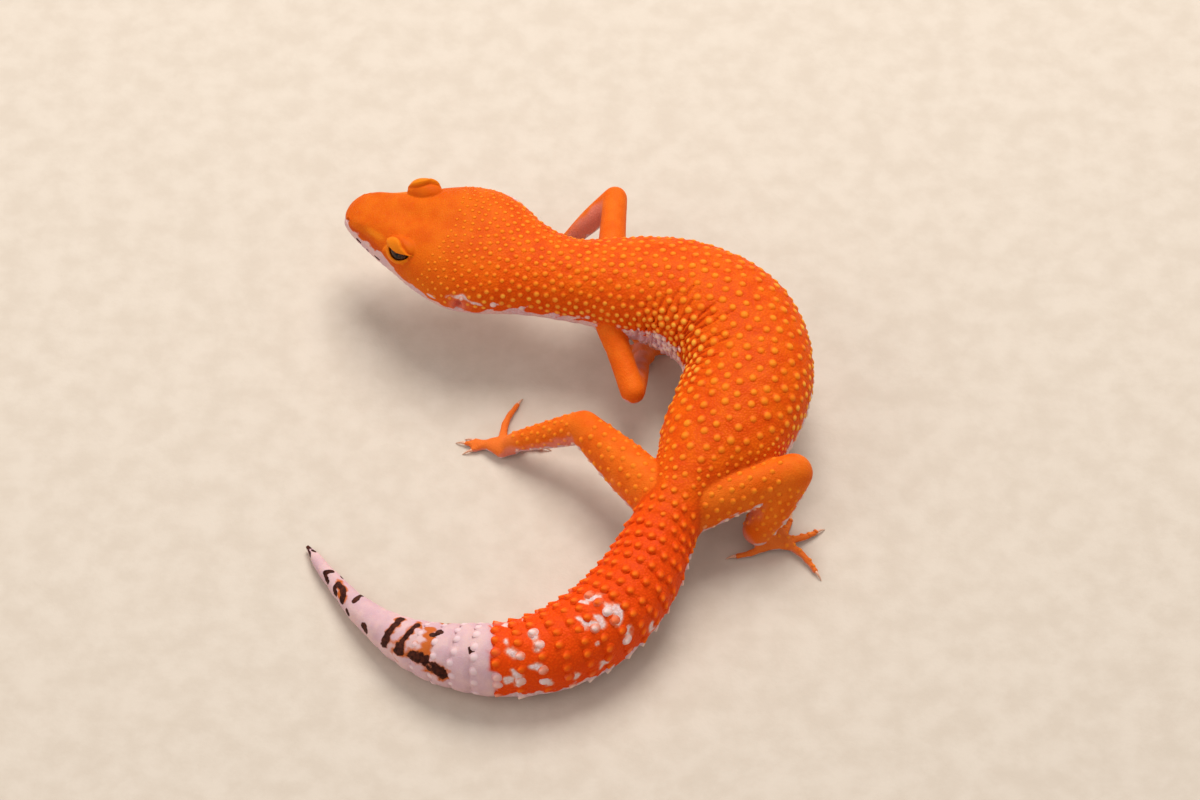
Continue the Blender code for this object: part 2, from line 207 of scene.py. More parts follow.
LID_INNER = EYE_RADIUS + 0.06
LID_REACH = 138.0  # degrees from the eye's axis to the rear edge of the lids' shell
LID_GAP = 2.0  # degrees between the opening and the lids' inner face
LID_ROLL = 9.0  # degrees that the opening's front corner stands above its rear one
LID_MEDIAL = 2.5  # how far a lid's dome reaches towards the middle of the head
LID_THINNEST = 0.12
LID_AROUND = 96
LID_INNER_ROWS = 9
LID_OUTER_ROWS = 36
SOCKET_RADIUS = EYE_RADIUS + 0.22
OPENING_LENGTH = 60.0  # degrees from the eye's axis to the corners of the lids
OPENING_RISE = 5.0  # and to the upper and the lower lid
OPENING_DROP = 38.0
LOOK_UP = 40.0  # degrees that an eye looks up from level
EYE_FIT = 0.02
CORNEA_BULGE = 0.1

CLAW_START = 0.15
CLAW_SHARE = 0.75  # of the CAD claw's length
CLAW_RADIUS = 0.21
CLAW_TIP_RADIUS = 0.04

# ---- The raised scales' sizes

SCALE_SIDES = 12
# Each ring of a scale from its foot up: how wide and how high, as parts of the scale's radius and height.
SCALE_FOOT = ((1.4, -1.5), (1.46, -0.24))
SCALE_PROFILE = (*SCALE_FOOT, (1.3, 0.0), (1.12, 0.13), (0.9, 0.38), (0.62, 0.71), (0.31, 0.93))
SHARP_PROFILE = (*SCALE_FOOT, (1.26, 0.0), (1.04, 0.13), (0.78, 0.36), (0.5, 0.65), (0.23, 0.86))
SCALE_STATIONS = (14.0, 24.0, 31.0, 40.0, 52.0, 70.0, 100.0, 110.0)
SCALE_PITCHES = (1.1, 1.15, 1.3, 1.45, 1.6, 2.15, 2.15, 2.0)
SCALE_RADII = (0.14, 0.28, 0.38, 0.43, 0.47, 0.6, 0.6, 0.56)
SCALE_EDGE = ((14.0, 22.0, 40.0, 60.0, 90.0, 110.0), (58.0, 84.0, 94.0, 104.0, 108.0, 112.0))
TAIL_SCALE_RADII = ((108.0, 128.0, 150.0, 164.0), (0.52, 0.6, 0.58, 0.36))
TAIL_SCALE_PITCH = 2.1
TAIL_SCALE_TURN = 118.0  # degrees from the back to the last scale of a ring
THIGH_PITCH = 1.75
SHIN_PITCH = 1.25
THIGH_SCALE_RADIUS = 0.42
SHIN_SCALE_RADIUS = 0.32
HEAD_END = 44.0
BODY_CURVE = 8.0  # the radius that the feet of the scales follow
TAIL_CURVE = 6.0
LEG_CURVE = 2.5

GRANULE_DEPTH = 0.045
PATCH_SIZE = 0.003  # of a scale in the UV map
UV_SPREAD = 4.0
UV_GIRTH = 8.0
LEG_UV_SPREAD = 0.006
LEG_UV_CORNER = (0.9, 0.3)
LEG_UV_STEP = (0.0, 0.5)

# ---- The studio's sizes, in metres

MIDDLE = (0.0055, 0.0115, 0.01)
CAMERA_LENS = 125.8
CAMERA_TARGET = (0.0055, 0.0115, 0.0)
CAMERA_DISTANCE = 0.686
CAMERA_RISE = 52.0  # degrees above the floor
FLOOR_REACH = 3.0
SKY_TINT = (1.0, 0.97, 0.94, 1.0)
SKY_STRENGTH = 0.47
LAMP_SIZE = 0.5
# Each lamp's name, place, power and tint.
LAMPS = (
    ("key", (0.06, 0.42, 0.62), 4.9, (1.0, 0.97, 0.93)),
    ("side", (-0.55, -0.15, 0.4), 0.9, (1.0, 0.98, 0.96)),
)


def smooth_step(value, low, high):
    """0 below the low value, 1 above the high one, and smooth between."""
    part = np.clip((np.asarray(value, float) - low) / (high - low), 0.0, 1.0)
    return part * part * (3.0 - 2.0 * part)


def fade(value, start, end):
    """1 below the start, 0 above the end, and smooth between."""
    return 1.0 - smooth_step(value, start, end)


def band(value, start, full, last, end):
    """1 between the two middle values and 0 outside the outer ones."""
    return smooth_step(value, start, full) * fade(value, last, end)


def wave(place, length):
    return np.sin(2.0 * math.pi * place / length)


def hill(distance, width):
    return np.exp(-((distance / width) ** 2))


def unit(vectors):
    return vectors / np.maximum(np.linalg.norm(vectors, axis=-1, keepdims=True), 1e-9)


def ripple(points, wavelength, seed):
    """Smooth noise of about -1 to 1 at each point, with bumps of about half the wavelength."""
    rng = np.random.default_rng(SEED * 1000 + seed)
    total = np.zeros(points.shape[:-1])
    waves = 9
    for _ in range(waves):
        aim = unit(rng.normal(size=3))
        length = wavelength * rng.uniform(0.75, 1.35)
        total += np.sin(points @ aim * 2.0 * math.pi / length + rng.uniform(0.0, 2.0 * math.pi))
    return total / math.sqrt(waves)


def smooth_through(places, values, at):
    """Rows of values on a smooth curve through the given ones, read at the given places."""
    places = np.asarray(places, float)
    values = np.asarray(values, float).reshape(len(places), -1)
    slopes = np.gradient(values, places, axis=0)
    at = np.clip(np.atleast_1d(at), places[0], places[-1])
    span = np.clip(np.searchsorted(places, at, side="right") - 1, 0, len(places) - 2)
    width = (places[span + 1] - places[span])[:, None]
    part = (at - places[span])[:, None] / width
    rest = 1.0 - part
    return (
        values[span] * rest**2 * (1.0 + 2.0 * part)
        + values[span + 1] * part**2 * (3.0 - 2.0 * part)
        + slopes[span] * width * part * rest**2
        - slopes[span + 1] * width * part**2 * rest
    )


def spine_table():
    points = np.array(SPINE)
    chords = np.linalg.norm(np.diff(points, axis=0), axis=1)
    places = np.concatenate([[0.0], np.cumsum(chords)])
    fine = smooth_through(places, points, np.linspace(0.0, places[-1], 2001))
    steps = np.linalg.norm(np.diff(fine, axis=0), axis=1)
    stations = np.concatenate([[0.0], np.cumsum(steps)])
    return stations * BODY_LENGTH / stations[-1], fine


SPINE_STATIONS, SPINE_POINTS = spine_table()


def spine_frames(stations):
    """The spine's points at these stations, with their backward, leftward and upward directions."""

    def at(places):
        return np.stack([np.interp(places, SPINE_STATIONS, SPINE_POINTS[:, k]) for k in range(3)], -1)

    back = unit(at(stations + SPINE_STEP) - at(stations - SPINE_STEP))
    level = unit(np.cross(back, (0.0, 0.0, 1.0)))
    upright = np.cross(level, back)
    roll = np.radians(np.interp(stations, *zip(*ROLL)))[:, None]
    left = level * np.cos(roll) - upright * np.sin(roll)
    return at(stations), back, left, np.cross(left, back)


def section(stations):
    """Half the width, the rise and the drop of the CAD body.

    They are smooth over the root of the station, so that the snout is round.
    """
    places = np.sqrt([row[0] for row in PROFILE])
    return smooth_through(places, [row[1:] for row in PROFILE], np.sqrt(stations))


def fullness(height, power):
    return height * (height**2 + SIDE_ROUNDING) ** ((power - 1.0) / 2.0)


def body_points(stations, turns, depth):
    """Points of the body at paired stations and turns, a depth inside the CAD body."""
    stations, turns, depth = np.broadcast_arrays(np.asarray(stations, float), turns, depth)
    point, _, left, up = spine_frames(stations)
    width, rise, drop = np.maximum(section(stations) - depth[:, None], 0.0).T
    height = np.cos(turns)
    over, under = rise * fullness(height, TOP_FULLNESS), drop * fullness(height, BELLY_FULLNESS)
    upward = np.where(height > 0.0, over, under)
    return point + left * (width * np.sin(turns))[:, None] + up * upward[:, None]


def coat_depth(stations, turns):
    """How far the skin lies inside the CAD body: further where the raised scales are taller."""
    side = np.degrees(np.abs(turns))
    scaled = band(stations, 17.0, 40.0, 146.0, 154.0) * fade(side, 95.0, 120.0)
    return SMOOTH_DEPTH + (SCALED_DEPTH - SMOOTH_DEPTH) * scaled


# ---- Meshes as arrays


class Shape:
    """Points and faces, with what the colours need to know of each point."""

    def __init__(self, points, faces, **facts):
        self.points = np.asarray(points, float)
        self.faces = [tuple(face) for face in faces]
        self.facts = facts


def tube(rings):
    """A closed shape through rings of points of one size, with a fan over each end."""
    rings = np.asarray(rings, float)
    count, around = rings.shape[:2]
    index = np.arange(count * around).reshape(count, around)
    following = np.roll(index, -1, axis=1)
    faces = np.stack([index[:-1], following[:-1], following[1:], index[1:]], -1).reshape(-1, 4).tolist()
    points = rings.reshape(-1, 3)
    first, last = len(points), len(points) + 1
    points = np.concatenate([points, rings[:1].mean(1), rings[-1:].mean(1)])
    faces += [(first, following[0, k], index[0, k]) for k in range(around)]
    faces += [(last, index[-1, k], following[-1, k]) for k in range(around)]
    return Shape(points, faces)


def joined(shapes):
    points, faces, start = [], [], 0
    for shape in shapes:
        points.append(shape.points)
        faces += [tuple(corner + start for corner in face) for face in shape.faces]
        start += len(shape.points)
    return Shape(np.concatenate(points), faces)


def to_object(name, shape, scale=1.0, offset=(0.0, 0.0, 0.0)):
    """An object of this shape, moved back by an offset and then scaled."""
    mesh = bpy.data.meshes.new(name)
    mesh.from_pydata(((shape.points - offset) * scale).tolist(), [], shape.faces)
    mesh.update()
    made = bpy.data.objects.new(name, mesh)
    bpy.context.scene.collection.objects.link(made)
    return made


def remove(made):
    mesh = made.data
    bpy.data.objects.remove(made)
    bpy.data.meshes.remove(mesh)


def from_object(made):
    """The evaluated shape of an object, which is removed."""
    graph = bpy.context.evaluated_depsgraph_get()
    mesh = made.evaluated_get(graph).to_mesh()
    points = np.empty(len(mesh.vertices) * 3)
    mesh.vertices.foreach_get("co", points)
    faces = [tuple(face.vertices) for face in mesh.polygons]
    made.evaluated_get(graph).to_mesh_clear()
    remove(made)
    return Shape(points.reshape(-1, 3), faces)


def combined(first, second, operation):
    """The union or the difference of two closed shapes."""
    target, other = to_object("target", first), to_object("other", second)
    change = target.modifiers.new("combine", "BOOLEAN")
    change.operation = operation
    change.object = other
    change.solver = "MANIFOLD"
    result = from_object(target)
    remove(other)
    return result


def neighbours(shape):
    """Each edge of a shape, once each way."""
    pairs = [(a, b) for face in shape.faces for a, b in zip(face, face[1:] + face[:1])]
    pairs = np.unique(np.sort(np.array(pairs), axis=1), axis=0)
    return np.concatenate([pairs, pairs[:, ::-1]])


def relax(values, edges, weights, rounds):
    """Moves each row of values towards the mean of its neighbours' rows."""
    count = np.bincount(edges[:, 0], minlength=len(values))[:, None]
    for _ in range(rounds):
        sums = [np.bincount(edges[:, 0], column[edges[:, 1]], len(values)) for column in values.T]
        total = np.stack(sums, -1)
        values = values + weights[:, None] * (total / np.maximum(count, 1) - values)
    return values


def nearest_of(points, queries):
    """For each query, the number of the nearest point and its distance."""
    tree = KDTree(len(points))
    for number, point in enumerate(points):
        tree.insert(point, number)
    tree.balance()
    found = [tree.find(query) for query in queries]
    return np.array([hit[1] for hit in found]), np.array([hit[2] for hit in found])


def normals_of(shape):
    """The normals of a shape's points, weighted by the areas of their faces."""
    made = to_object("normals", shape)
    normals = np.empty(len(shape.points) * 3)
    made.data.vertex_normals.foreach_get("vector", normals)
    remove(made)
    return normals.reshape(-1, 3)


def along_line(points, start, end):
    """How far along a line each point lies, as a part of it, and how far from the line."""
    line = end - start
    part = (points - start) @ line / (line @ line)
    return part, np.linalg.norm(points - start - np.clip(part, 0.0, 1.0)[:, None] * line, axis=1)


# ---- The body, with the relief of the face, the folds and the tail


def station_grid():
    stations = [FIRST_STATION]
    while stations[-1] < BODY_LENGTH - LAST_STEP:
        stations.append(stations[-1] + np.interp(stations[-1], *zip(*STATION_STEPS)))
    stations[-1] = BODY_LENGTH
    return np.array(stations)


def turn_grid():
    """Turns round the body, closer at the mouth's height and wider under the belly."""
    fine = np.linspace(0.0, 180.0, 1801)
    weight = 1.0 + 1.6 * hill(fine - 98.0, 9.0) - 0.55 * smooth_step(fine, 112.0, 140.0)
    total = np.concatenate([[0.0], np.cumsum((weight[1:] + weight[:-1]) / 2.0)])
    half = np.interp(np.linspace(0.0, total[-1], TURNS // 2 + 1), total, fine)
    return np.radians(np.concatenate([half, -half[-2:0:-1]]))


def face_relief(station, upward, point, facing):
    """The relief of the head: its hollows, mouth, nostrils and ear openings."""

    def away(at_station, at_turn, sizes=(1.0, 1.0, 1.0)):
        """The distance from a place on either side of the head, in sizes along, across and up."""
        nearest = np.full(station.shape, 1e9)
        for way in (1.0, -1.0):
            centre = body_points(np.array([at_station]), math.radians(at_turn) * way, SMOOTH_DEPTH)
            _, *axes = (row[0] for row in spine_frames(np.array([at_station])))
            local = point - centre[0]
            parts = [(local @ axis / size) ** 2 for axis, size in zip(axes, sizes)]
            nearest = np.minimum(nearest, np.sqrt(sum(parts)))
        return nearest

    relief = np.zeros(station.shape)
    for height, at_station, at_turn, sizes in FACE_SHAPES:
        relief += height * hill(away(at_station, at_turn, sizes), 1.0)
    nostril = away(*NOSTRIL)
    relief += 0.07 * hill(nostril - 0.55, 0.25) - 0.45 * fade(nostril, 0.12, 0.42)
    ear = away(EAR_STATION, EAR_TURN, EAR_SIZE)
    relief += 0.14 * hill(ear - 1.35, 0.3) - 1.1 * fade(ear, 0.45, 1.05)

    mouth = -(MOUTH_DROP[0] + (MOUTH_DROP[1] - MOUTH_DROP[0]) * station / JAW_STATION)
    above = upward - mouth
    front = fade(station, JAW_STATION - 2.5, JAW_STATION - 0.5)
    labial = 0.03 * np.cos(2.0 * math.pi * station / 1.15) * hill(np.abs(above) - 0.5, 0.35)
    relief += front * (0.1 * hill(np.abs(above) - 0.5, 0.3) - 0.3 * hill(above, 0.13) + labial)
    return relief * facing


def fold_relief(station, side, way, point, spread):
    """Folds of the neck, the shoulder and the inside of the bend, and how deep in a groove each place is.

    Spread is how far apart in millimetres the skin's places lie for each millimetre of station.
    """
    warp = 0.5 * ripple(point, 7.0, 1) + 0.25 * ripple(point, 2.6, 2)
    inner = np.where(way > 0.0, 1.0, 0.0)
    bend = band(station, 47.0, 55.0, 84.0, 92.0)
    flank = band(side, 40.0, 75.0, 118.0, 140.0) * inner
    relief = 0.24 * wave(station + warp, 2.4) * bend * flank * (0.7 + 0.3 * ripple(point, 6.0, 3))

    wander = 0.4 * ripple(point, 8.0, 6) + 0.09 * ripple(point, 2.2, 7)
    line = (station + wander) / WRINKLE_PITCH
    away = np.abs(np.mod(line, 1.0) - 0.5) * WRINKLE_PITCH * spread
    start = np.random.default_rng(SEED).uniform(0.0, 42.0, 200)[line.astype(int)]
    strength = bend * smooth_step(side * way, start, start + 16.0) * fade(side, 92.0, 112.0)
    # how deep in a groove each place is: it shapes the relief and also darkens the skin's colour there as
    # painted shade
    groove = hill(away, 0.2) * strength
    relief += 0.05 * hill(away - 0.45, 0.25) * strength - 0.26 * groove

    shoulder = band(station, 45.0, 50.0, 60.0, 66.0)
    relief += 0.18 * wave(station + warp, 1.25) * shoulder * band(side, 66.0, 84.0, 125.0, 150.0)
    neck = band(station, 31.0, 35.0, 44.0, 48.0)
    relief += 0.05 * wave(station + warp, 2.4) * neck * smooth_step(side, 60.0, 90.0)
    return relief, groove


def ring_number(station):
    """How many rings of the tail lie between each place and the start of its pale part, a ring's edge."""
    places = np.arange(TAIL_START - 6.0, BODY_LENGTH + 4.0, 0.5)
    rings = np.cumsum(0.5 / np.interp(places, TAIL_RINGS[0], TAIL_RINGS[1]))
    return np.interp(station, places, rings - np.interp(PALE_TAIL_START, places, rings))


def tail_relief(station, side, point):
    """The rings of the tail: each swells towards its rear edge, or evenly where the tail is pale."""
    warp = 0.2 * ripple(point, 5.0, 4)
    part = np.mod(ring_number(station + warp), 1.0)
    evenly = smooth_step(station, PALE_TAIL_START - 2.0, PALE_TAIL_START + 1.0)
    swell = 0.26 * part**1.5 * (1.0 - evenly) + 0.28 * np.sin(math.pi * part) ** 0.6 * evenly
    groove = -(0.14 + 0.14 * evenly) * hill(np.minimum(part, 1.0 - part), 0.07)
    tail = smooth_step(station, TAIL_START - 3.0, TAIL_START + 6.0)
    tail = tail * (1.0 - 0.75 * smooth_step(station, 154.0, 172.0))
    relief = (swell + groove) * tail * fade(station, 178.0, 186.0)
    return relief * (1.0 - 0.5 * smooth_step(side, 90.0, 130.0))


def body_shape():
    """The body's skin on a grid of stations and turns."""
    stations, turns = station_grid(), turn_grid()
    rows, columns = len(stations), len(turns)
    station, turn = (grid.ravel() for grid in np.meshgrid(stations, turns, indexing="ij"))
    depth = coat_depth(station, turn)
    depth = np.minimum(depth, section(station).min(1) * 0.6)
    point = body_points(station, turn, depth)
    grid = point.reshape(rows, columns, 3)
    along = np.gradient(grid, axis=0)
    across = (np.roll(grid, -1, axis=1) - np.roll(grid, 1, axis=1)) / 2.0
    normal = unit(np.cross(across, along)).reshape(-1, 3)
    spine, _, _, up = spine_frames(station)
    normal *= np.sign(np.sum(normal * (point - spine), axis=1, keepdims=True))
    side, way = np.degrees(np.abs(turn)), np.sign(turn)
    upward = np.sum((point - spine) * up, axis=1)
    facing = fade(station, 29.0, 33.0)
    relief = face_relief(station, upward, point, facing)
    spread = np.linalg.norm(along, axis=2) / np.gradient(stations)[:, None]
    spread = np.minimum(spread, 1.0).ravel()
    folds, groove = fold_relief(station, side, way, point, spread)
    relief += folds + tail_relief(station, side, point)
    relief += 0.05 * ripple(point, 3.0, 5) * smooth_step(station, 30.0, 40.0)
    relief *= band(station, 0.0, 0.8, 187.0, BODY_LENGTH)
    point = point + normal * relief[:, None]
    point[:, 2] = np.maximum(point[:, 2], FLOOR_CLEARANCE)
    shape = tube(point.reshape(rows, columns, 3))
    ends = (("station", station, BODY_LENGTH), ("turn", turn, 0.0), ("groove", groove, 0.0))
    shape.facts = {name: np.concatenate([values, [0.0, last]]) for name, values, last in ends}
    return shape


# ---- The limbs


def swept(path, radii, sides=20, flatten=1.0, cap_steps=5):
    """A tube along a path with round ends. Flatten squeezes its height."""
    path, radii = np.asarray(path, float), np.asarray(radii, float)
    along = unit(np.gradient(path, axis=0))
    side = unit(np.cross(along, (0.0, 0.0, 1.0)))
    over = np.cross(side, along) * flatten
    turns = np.linspace(0.0, math.pi / 2.0, cap_steps, endpoint=False)[1:]

    def cap(k, way, turn):
        """A ring of the round end at the path's point k: its centre, its radius and k."""
        return path[k] + along[k] * way * radii[k] * math.cos(turn), radii[k] * math.sin(turn), k

    rows = [cap(0, -1.0, turn) for turn in turns]
    rows += [(path[k], radii[k], k) for k in range(len(path))]
    rows += [cap(-1, 1.0, turn) for turn in turns[::-1]]
    angles = np.linspace(0.0, 2.0 * math.pi, sides, endpoint=False)[:, None]
    round_it = [side[k] * np.cos(angles) + over[k] * np.sin(angles) for _, _, k in rows]
    return tube([centre + radius * ring for (centre, radius, _), ring in zip(rows, round_it)])


def limb_segment(start, end, radii):
    """A straight limb whose radius runs smoothly through three values."""
    parts = np.linspace(0.0, 1.0, 17)[:, None]
    path = np.asarray(start, float) * (1.0 - parts) + np.asarray(end, float) * parts
    return swept(path, smooth_through((0.0, 0.5, 1.0), np.array(radii) - SMOOTH_DEPTH, parts[:, 0])[:, 0])


def toe_path(palm, heading, turn, reach):
    """A toe's middle line: it leaves nearer to the foot's heading and bends outwards and down."""
    aim = math.radians(heading + turn)
    stretch = np.array((math.cos(aim), math.sin(aim), 0.0))
    across = np.array((-math.sin(aim), math.cos(aim), 0.0))
    tip = palm + stretch * (reach - TOE_TIP_RADIUS)
    parts = np.linspace(0.0, 1.0, TOE_STEPS)[:, None]
    path = palm * (1.0 - parts) + tip * parts
    path -= across * math.copysign(TOE_BEND * reach, turn) * np.sin(math.pi * parts) * (abs(turn) > 10.0)
    parts = parts[:, 0]
    fall = (TOE_HEIGHT - TOE_ROOT_HEIGHT) * parts**0.7
    path[:, 2] = TOE_ROOT_HEIGHT + fall + 0.22 * np.sin(math.pi * parts) ** 2
    return path


def toe_shape(palm, heading, turn, reach):
    """A toe that tapers and swells a little at each joint."""
    parts = np.linspace(0.0, 1.0, TOE_STEPS)
    radii = TOE_RADII[0] + (TOE_RADII[1] - TOE_RADII[0]) * parts**0.7
    radii *= 1.0 + 0.07 * np.cos(2.0 * math.pi * parts * max(2.0, round(reach / 2.4)))
    return swept(toe_path(palm, heading, turn, reach), radii, 16)


def limb_shape(plan):
    """A whole leg in one closed shape, its parts blended by remeshing."""
    shoulder, elbow, ankle = plan["joints"]
    palm = np.array((*plan["palm"], PALM_HEIGHT))
    heading = math.radians(plan["heading"])
    forward = np.array((math.cos(heading), math.sin(heading), 0.0))
    reach = PALM_LENGTH - PAD_RADII[0]
    parts = [
        limb_segment(shoulder, elbow, plan["upper_radii"]),
        limb_segment(elbow, ankle, plan["lower_radii"]),
        limb_segment(ankle, palm, (plan["lower_radii"][2], *WRIST_RADII)),
        swept([palm - forward * reach, palm, palm + forward * reach], PAD_RADII, 24, PAD_FLATNESS),
    ]
    parts += [toe_shape(palm, plan["heading"], turn, reach) for turn, reach in plan["toes"]]
    made = to_object("limb", joined(parts))
    change = made.modifiers.new("blend", "REMESH")
    change.mode = "VOXEL"
    change.voxel_size = LIMB_VOXEL
    shape = from_object(made)
    shape.points = relax(shape.points, neighbours(shape), np.full(len(shape.points), 0.6), 4)
    shape.points[:, 2] = np.maximum(shape.points[:, 2], FLOOR_CLEARANCE)
    return shape


# ---- The eyes


def eye_axes(way):
    """An eye's centre, with its backward, outward and upward directions."""
    station = np.array([EYE_STATION + EYE_SKEW * way])
    point, back, left, up = (row[0] for row in spine_frames(station))
    centre = point + left * EYE_SIDE * way + up * EYE_RISE
    level, rise = left * way, math.radians(LOOK_UP)
    outward = level * math.cos(rise) + up * math.sin(rise)
    return centre, back, outward, up * math.cos(rise) - level * math.sin(rise)


def turned(first, second, degrees):
    """Two directions at a right angle, turned in their plane."""
    cosine, sine = math.cos(math.radians(degrees)), math.sin(math.radians(degrees))
    return first * cosine - second * sine, second * cosine + first * sine


def lid_shape(way):
    """Both lids of an eye: a domed shell with an almond opening, thick above and thin below."""
    centre, along, outward, up = eye_axes(way)
    level, upright = turned(outward, up, LOOK_UP)
    long, short = turned(along, up, LID_ROLL)
    around = np.linspace(0.0, 2.0 * math.pi, LID_AROUND, endpoint=False)
    cosine, sine = np.cos(around), np.sin(around)
    upper = smooth_step(sine, -0.12, 0.3)
    front = smooth_step(-cosine, -0.5, 1.0)
    fold = smooth_step(sine + 0.35 * front, -0.12, 0.3)
    height = OPENING_DROP + (OPENING_RISE - OPENING_DROP) * upper
    bend = np.sqrt(sine**2 + 4.0 * (height * cosine / OPENING_LENGTH) ** 2)
    opening = np.minimum(2.0 * height / (np.abs(sine) + bend), OPENING_LENGTH)
    sizes = np.array(LID_SIZE) - SMOOTH_DEPTH
    edge = 0.38 + 0.14 * upper
    lobe = 20.0 + 40.0 * front
    under = 1.0 - fold

    def direction(polar):
        polar = np.radians(polar)[:, None]
        return outward * np.cos(polar) + (long * cosine[:, None] + short * sine[:, None]) * np.sin(polar)

    def towards_rear(part):
        return opening + LID_GAP + (LID_REACH - opening - LID_GAP) * part

    rings = [direction(towards_rear(part)) * LID_INNER for part in np.linspace(1.0, 0.0, LID_INNER_ROWS)]
    for turn in np.radians((-60.0, -30.0, 0.0, 30.0, 60.0)):
        reach = LID_INNER + edge / 2.0 * (1.0 + math.sin(turn))
        polar = opening + LID_GAP - np.degrees(edge / 2.0 * math.cos(turn) / LID_INNER)
        rings.append(direction(polar) * reach[:, None])
    crests = [np.ones(LID_AROUND) for _ in rings]
    for part in np.linspace(0.0, 1.0, LID_OUTER_ROWS) ** 1.2:
        polar = towards_rear(part)
        aim = direction(polar)
        sideways = aim @ level
        width = np.where(sideways > 0.0, sizes[1], LID_MEDIAL)
        squares = (aim @ along / sizes[0]) ** 2 + (sideways / width) ** 2 + (aim @ upright / sizes[2]) ** 2
        gap = polar - opening
        crest = edge + 0.4 * fold * smooth_step(gap, 0.0, lobe * 0.9)
        crest += 0.05 * under * hill(gap - 5.0, 4.0)
        rise = 1.0 / np.sqrt(squares) - LID_INNER - 0.2 * hill(gap - lobe - 8.0, 6.0) * fold
        rise -= 0.22 * smooth_step(gap, lobe, lobe + 12.0) * fold
        rise -= 0.3 * hill(gap - 20.0, 8.0) * under
        rise += 0.025 * np.cos(2.0 * math.pi * gap / 9.0) * fold * smooth_step(gap, 66.0, 76.0)
        mixed = smooth_step(gap, lobe - 5.0, lobe + 10.0) * fold + smooth_step(gap, 8.0, 26.0) * under
        reach = LID_INNER + crest * (1.0 - mixed) + np.maximum(rise, LID_THINNEST) * mixed
        rings.append(aim * reach[:, None])
        plain = smooth_step(gap, lobe + 2.0, lobe + 8.0) * fold + smooth_step(gap, 12.0, 17.0) * under
        crests.append(1.0 - plain)
    rings = np.array(rings) + centre
    index = np.arange(len(rings) * LID_AROUND).reshape(len(rings), LID_AROUND)
    below, following = np.roll(index, -1, axis=0), np.roll(index, -1, axis=1)
    faces = np.stack([index, following, np.roll(below, -1, axis=1), below], -1).reshape(-1, 4)
    return outward_facing(Shape(rings.reshape(-1, 3), faces.tolist(), crest=np.concatenate(crests)))


def outward_facing(shape):
    """The shape with its faces turned so that its volume is positive."""
    volume = 0.0
    for face in shape.faces:
        first = shape.points[face[0]]
        for second, third in zip(face[1:], face[2:]):
            volume += np.dot(first, np.cross(shape.points[second], shape.points[third]))
    if volume < 0.0:
        shape.faces = [face[::-1] for face in shape.faces]
    return shape


def ball_shape(centre, radius):
    """A ball of rings about the vertical."""
    steps = 24
    angles = np.linspace(0.0, 2.0 * math.pi, 2 * steps, endpoint=False)[:, None]
    level = np.concatenate([np.cos(angles), np.sin(angles), 0.0 * angles], 1)
    upward = np.array((0.0, 0.0, 1.0))
    turns = np.linspace(0.0, math.pi, steps + 1)[1:-1]
    return outward_facing(
        tube([centre + radius * (level * math.sin(turn) + upward * math.cos(turn)) for turn in turns])
    )


def skin_shape():
    """The whole skin in one closed shape, smoothed where the limbs and lids join the body."""
    body = outward_facing(body_shape())
    limbs = [outward_facing(limb_shape(plan)) for plan in LEGS.values()]
    lids = [lid_shape(way) for way in (1.0, -1.0)]
    whole = body
    for way in (1.0, -1.0):
        whole = combined(whole, ball_shape(eye_axes(way)[0], SOCKET_RADIUS), "DIFFERENCE")
    for other in lids + limbs:
        whole = combined(whole, other, "UNION")

    sources = [body] + limbs + lids
    kinds = np.concatenate([np.full(len(shape.points), k) for k, shape in enumerate(sources)])
    found, _ = nearest_of(np.concatenate([shape.points for shape in sources]), whole.points)

    def carried(name, otherwise):
        """A fact of the sources' points, read at the skin's points."""
        rows = [shape.facts.get(name, np.full(len(shape.points), otherwise)) for shape in sources]
        return np.concatenate(rows)[found]

    kind, station, groove = kinds[found], carried("station", EYE_STATION), carried("groove", 0.0)
    edges = neighbours(whole)
    is_limb = (kind > 0) & (kind <= len(LEGS))
    crossing = edges[kind[edges[:, 0]] != kind[edges[:, 1]]]
    touches_limb = is_limb[crossing].any(axis=1)
    _, from_limb = nearest_of(whole.points[np.unique(crossing[touches_limb])], whole.points)
    _, from_lid = nearest_of(whole.points[np.unique(crossing[~touches_limb])], whole.points)
    near_limb = fade(from_limb, 0.4, 1.9)
    whole.points = relax(whole.points, edges, 0.7 * near_limb, 14)
    whole.points = relax(whole.points, edges, 0.6 * fade(from_lid, 0.1, 0.45), 3)
    whole.points[:, 2] = np.maximum(whole.points[:, 2], FLOOR_CLEARANCE)
    normal = normals_of(whole)
    whole.facts = {
        "kind": kind,
        "station": station,
        "turn": carried("turn", 0.0),
        "crest": carried("crest", 0.0),
        # painted shade: the fold grooves, plus a band along the crease where the hind legs join the body,
        # darken the colour
        "groove": np.maximum(groove, 0.55 * hill(from_limb, 0.9) * (station > 70.0)),
        "bent_in": groove,
        "from_limb": from_limb,
        "near_limb": near_limb,
        "edges": edges,
        "normal": normal,
        "calm_normal": unit(relax(normal, edges, np.full(len(normal), 0.7), 16)),
    }
    return whole


# ---- Fields: what the colours know of each place on the skin

FAR_OUTSIDE = -3.0  # a mark's field where there is no mark
# How many degrees from the back the belly's white starts, by station.
BELLY_EDGE = (
    (0.0, 3.0, 6.0, 10.0, 14.0, 18.0, 24.0, 30.0, 44.0)
    + (50.0, 60.0, 70.0, 90.0, 104.0, 116.0, 132.0, 150.0),
    (58.0, 66.0, 72.0, 78.0, 84.0, 89.0, 96.0, 96.0, 95.0)
    + (92.0, 88.0, 90.0, 97.0, 108.0, 111.0, 105.0, 110.0),
)

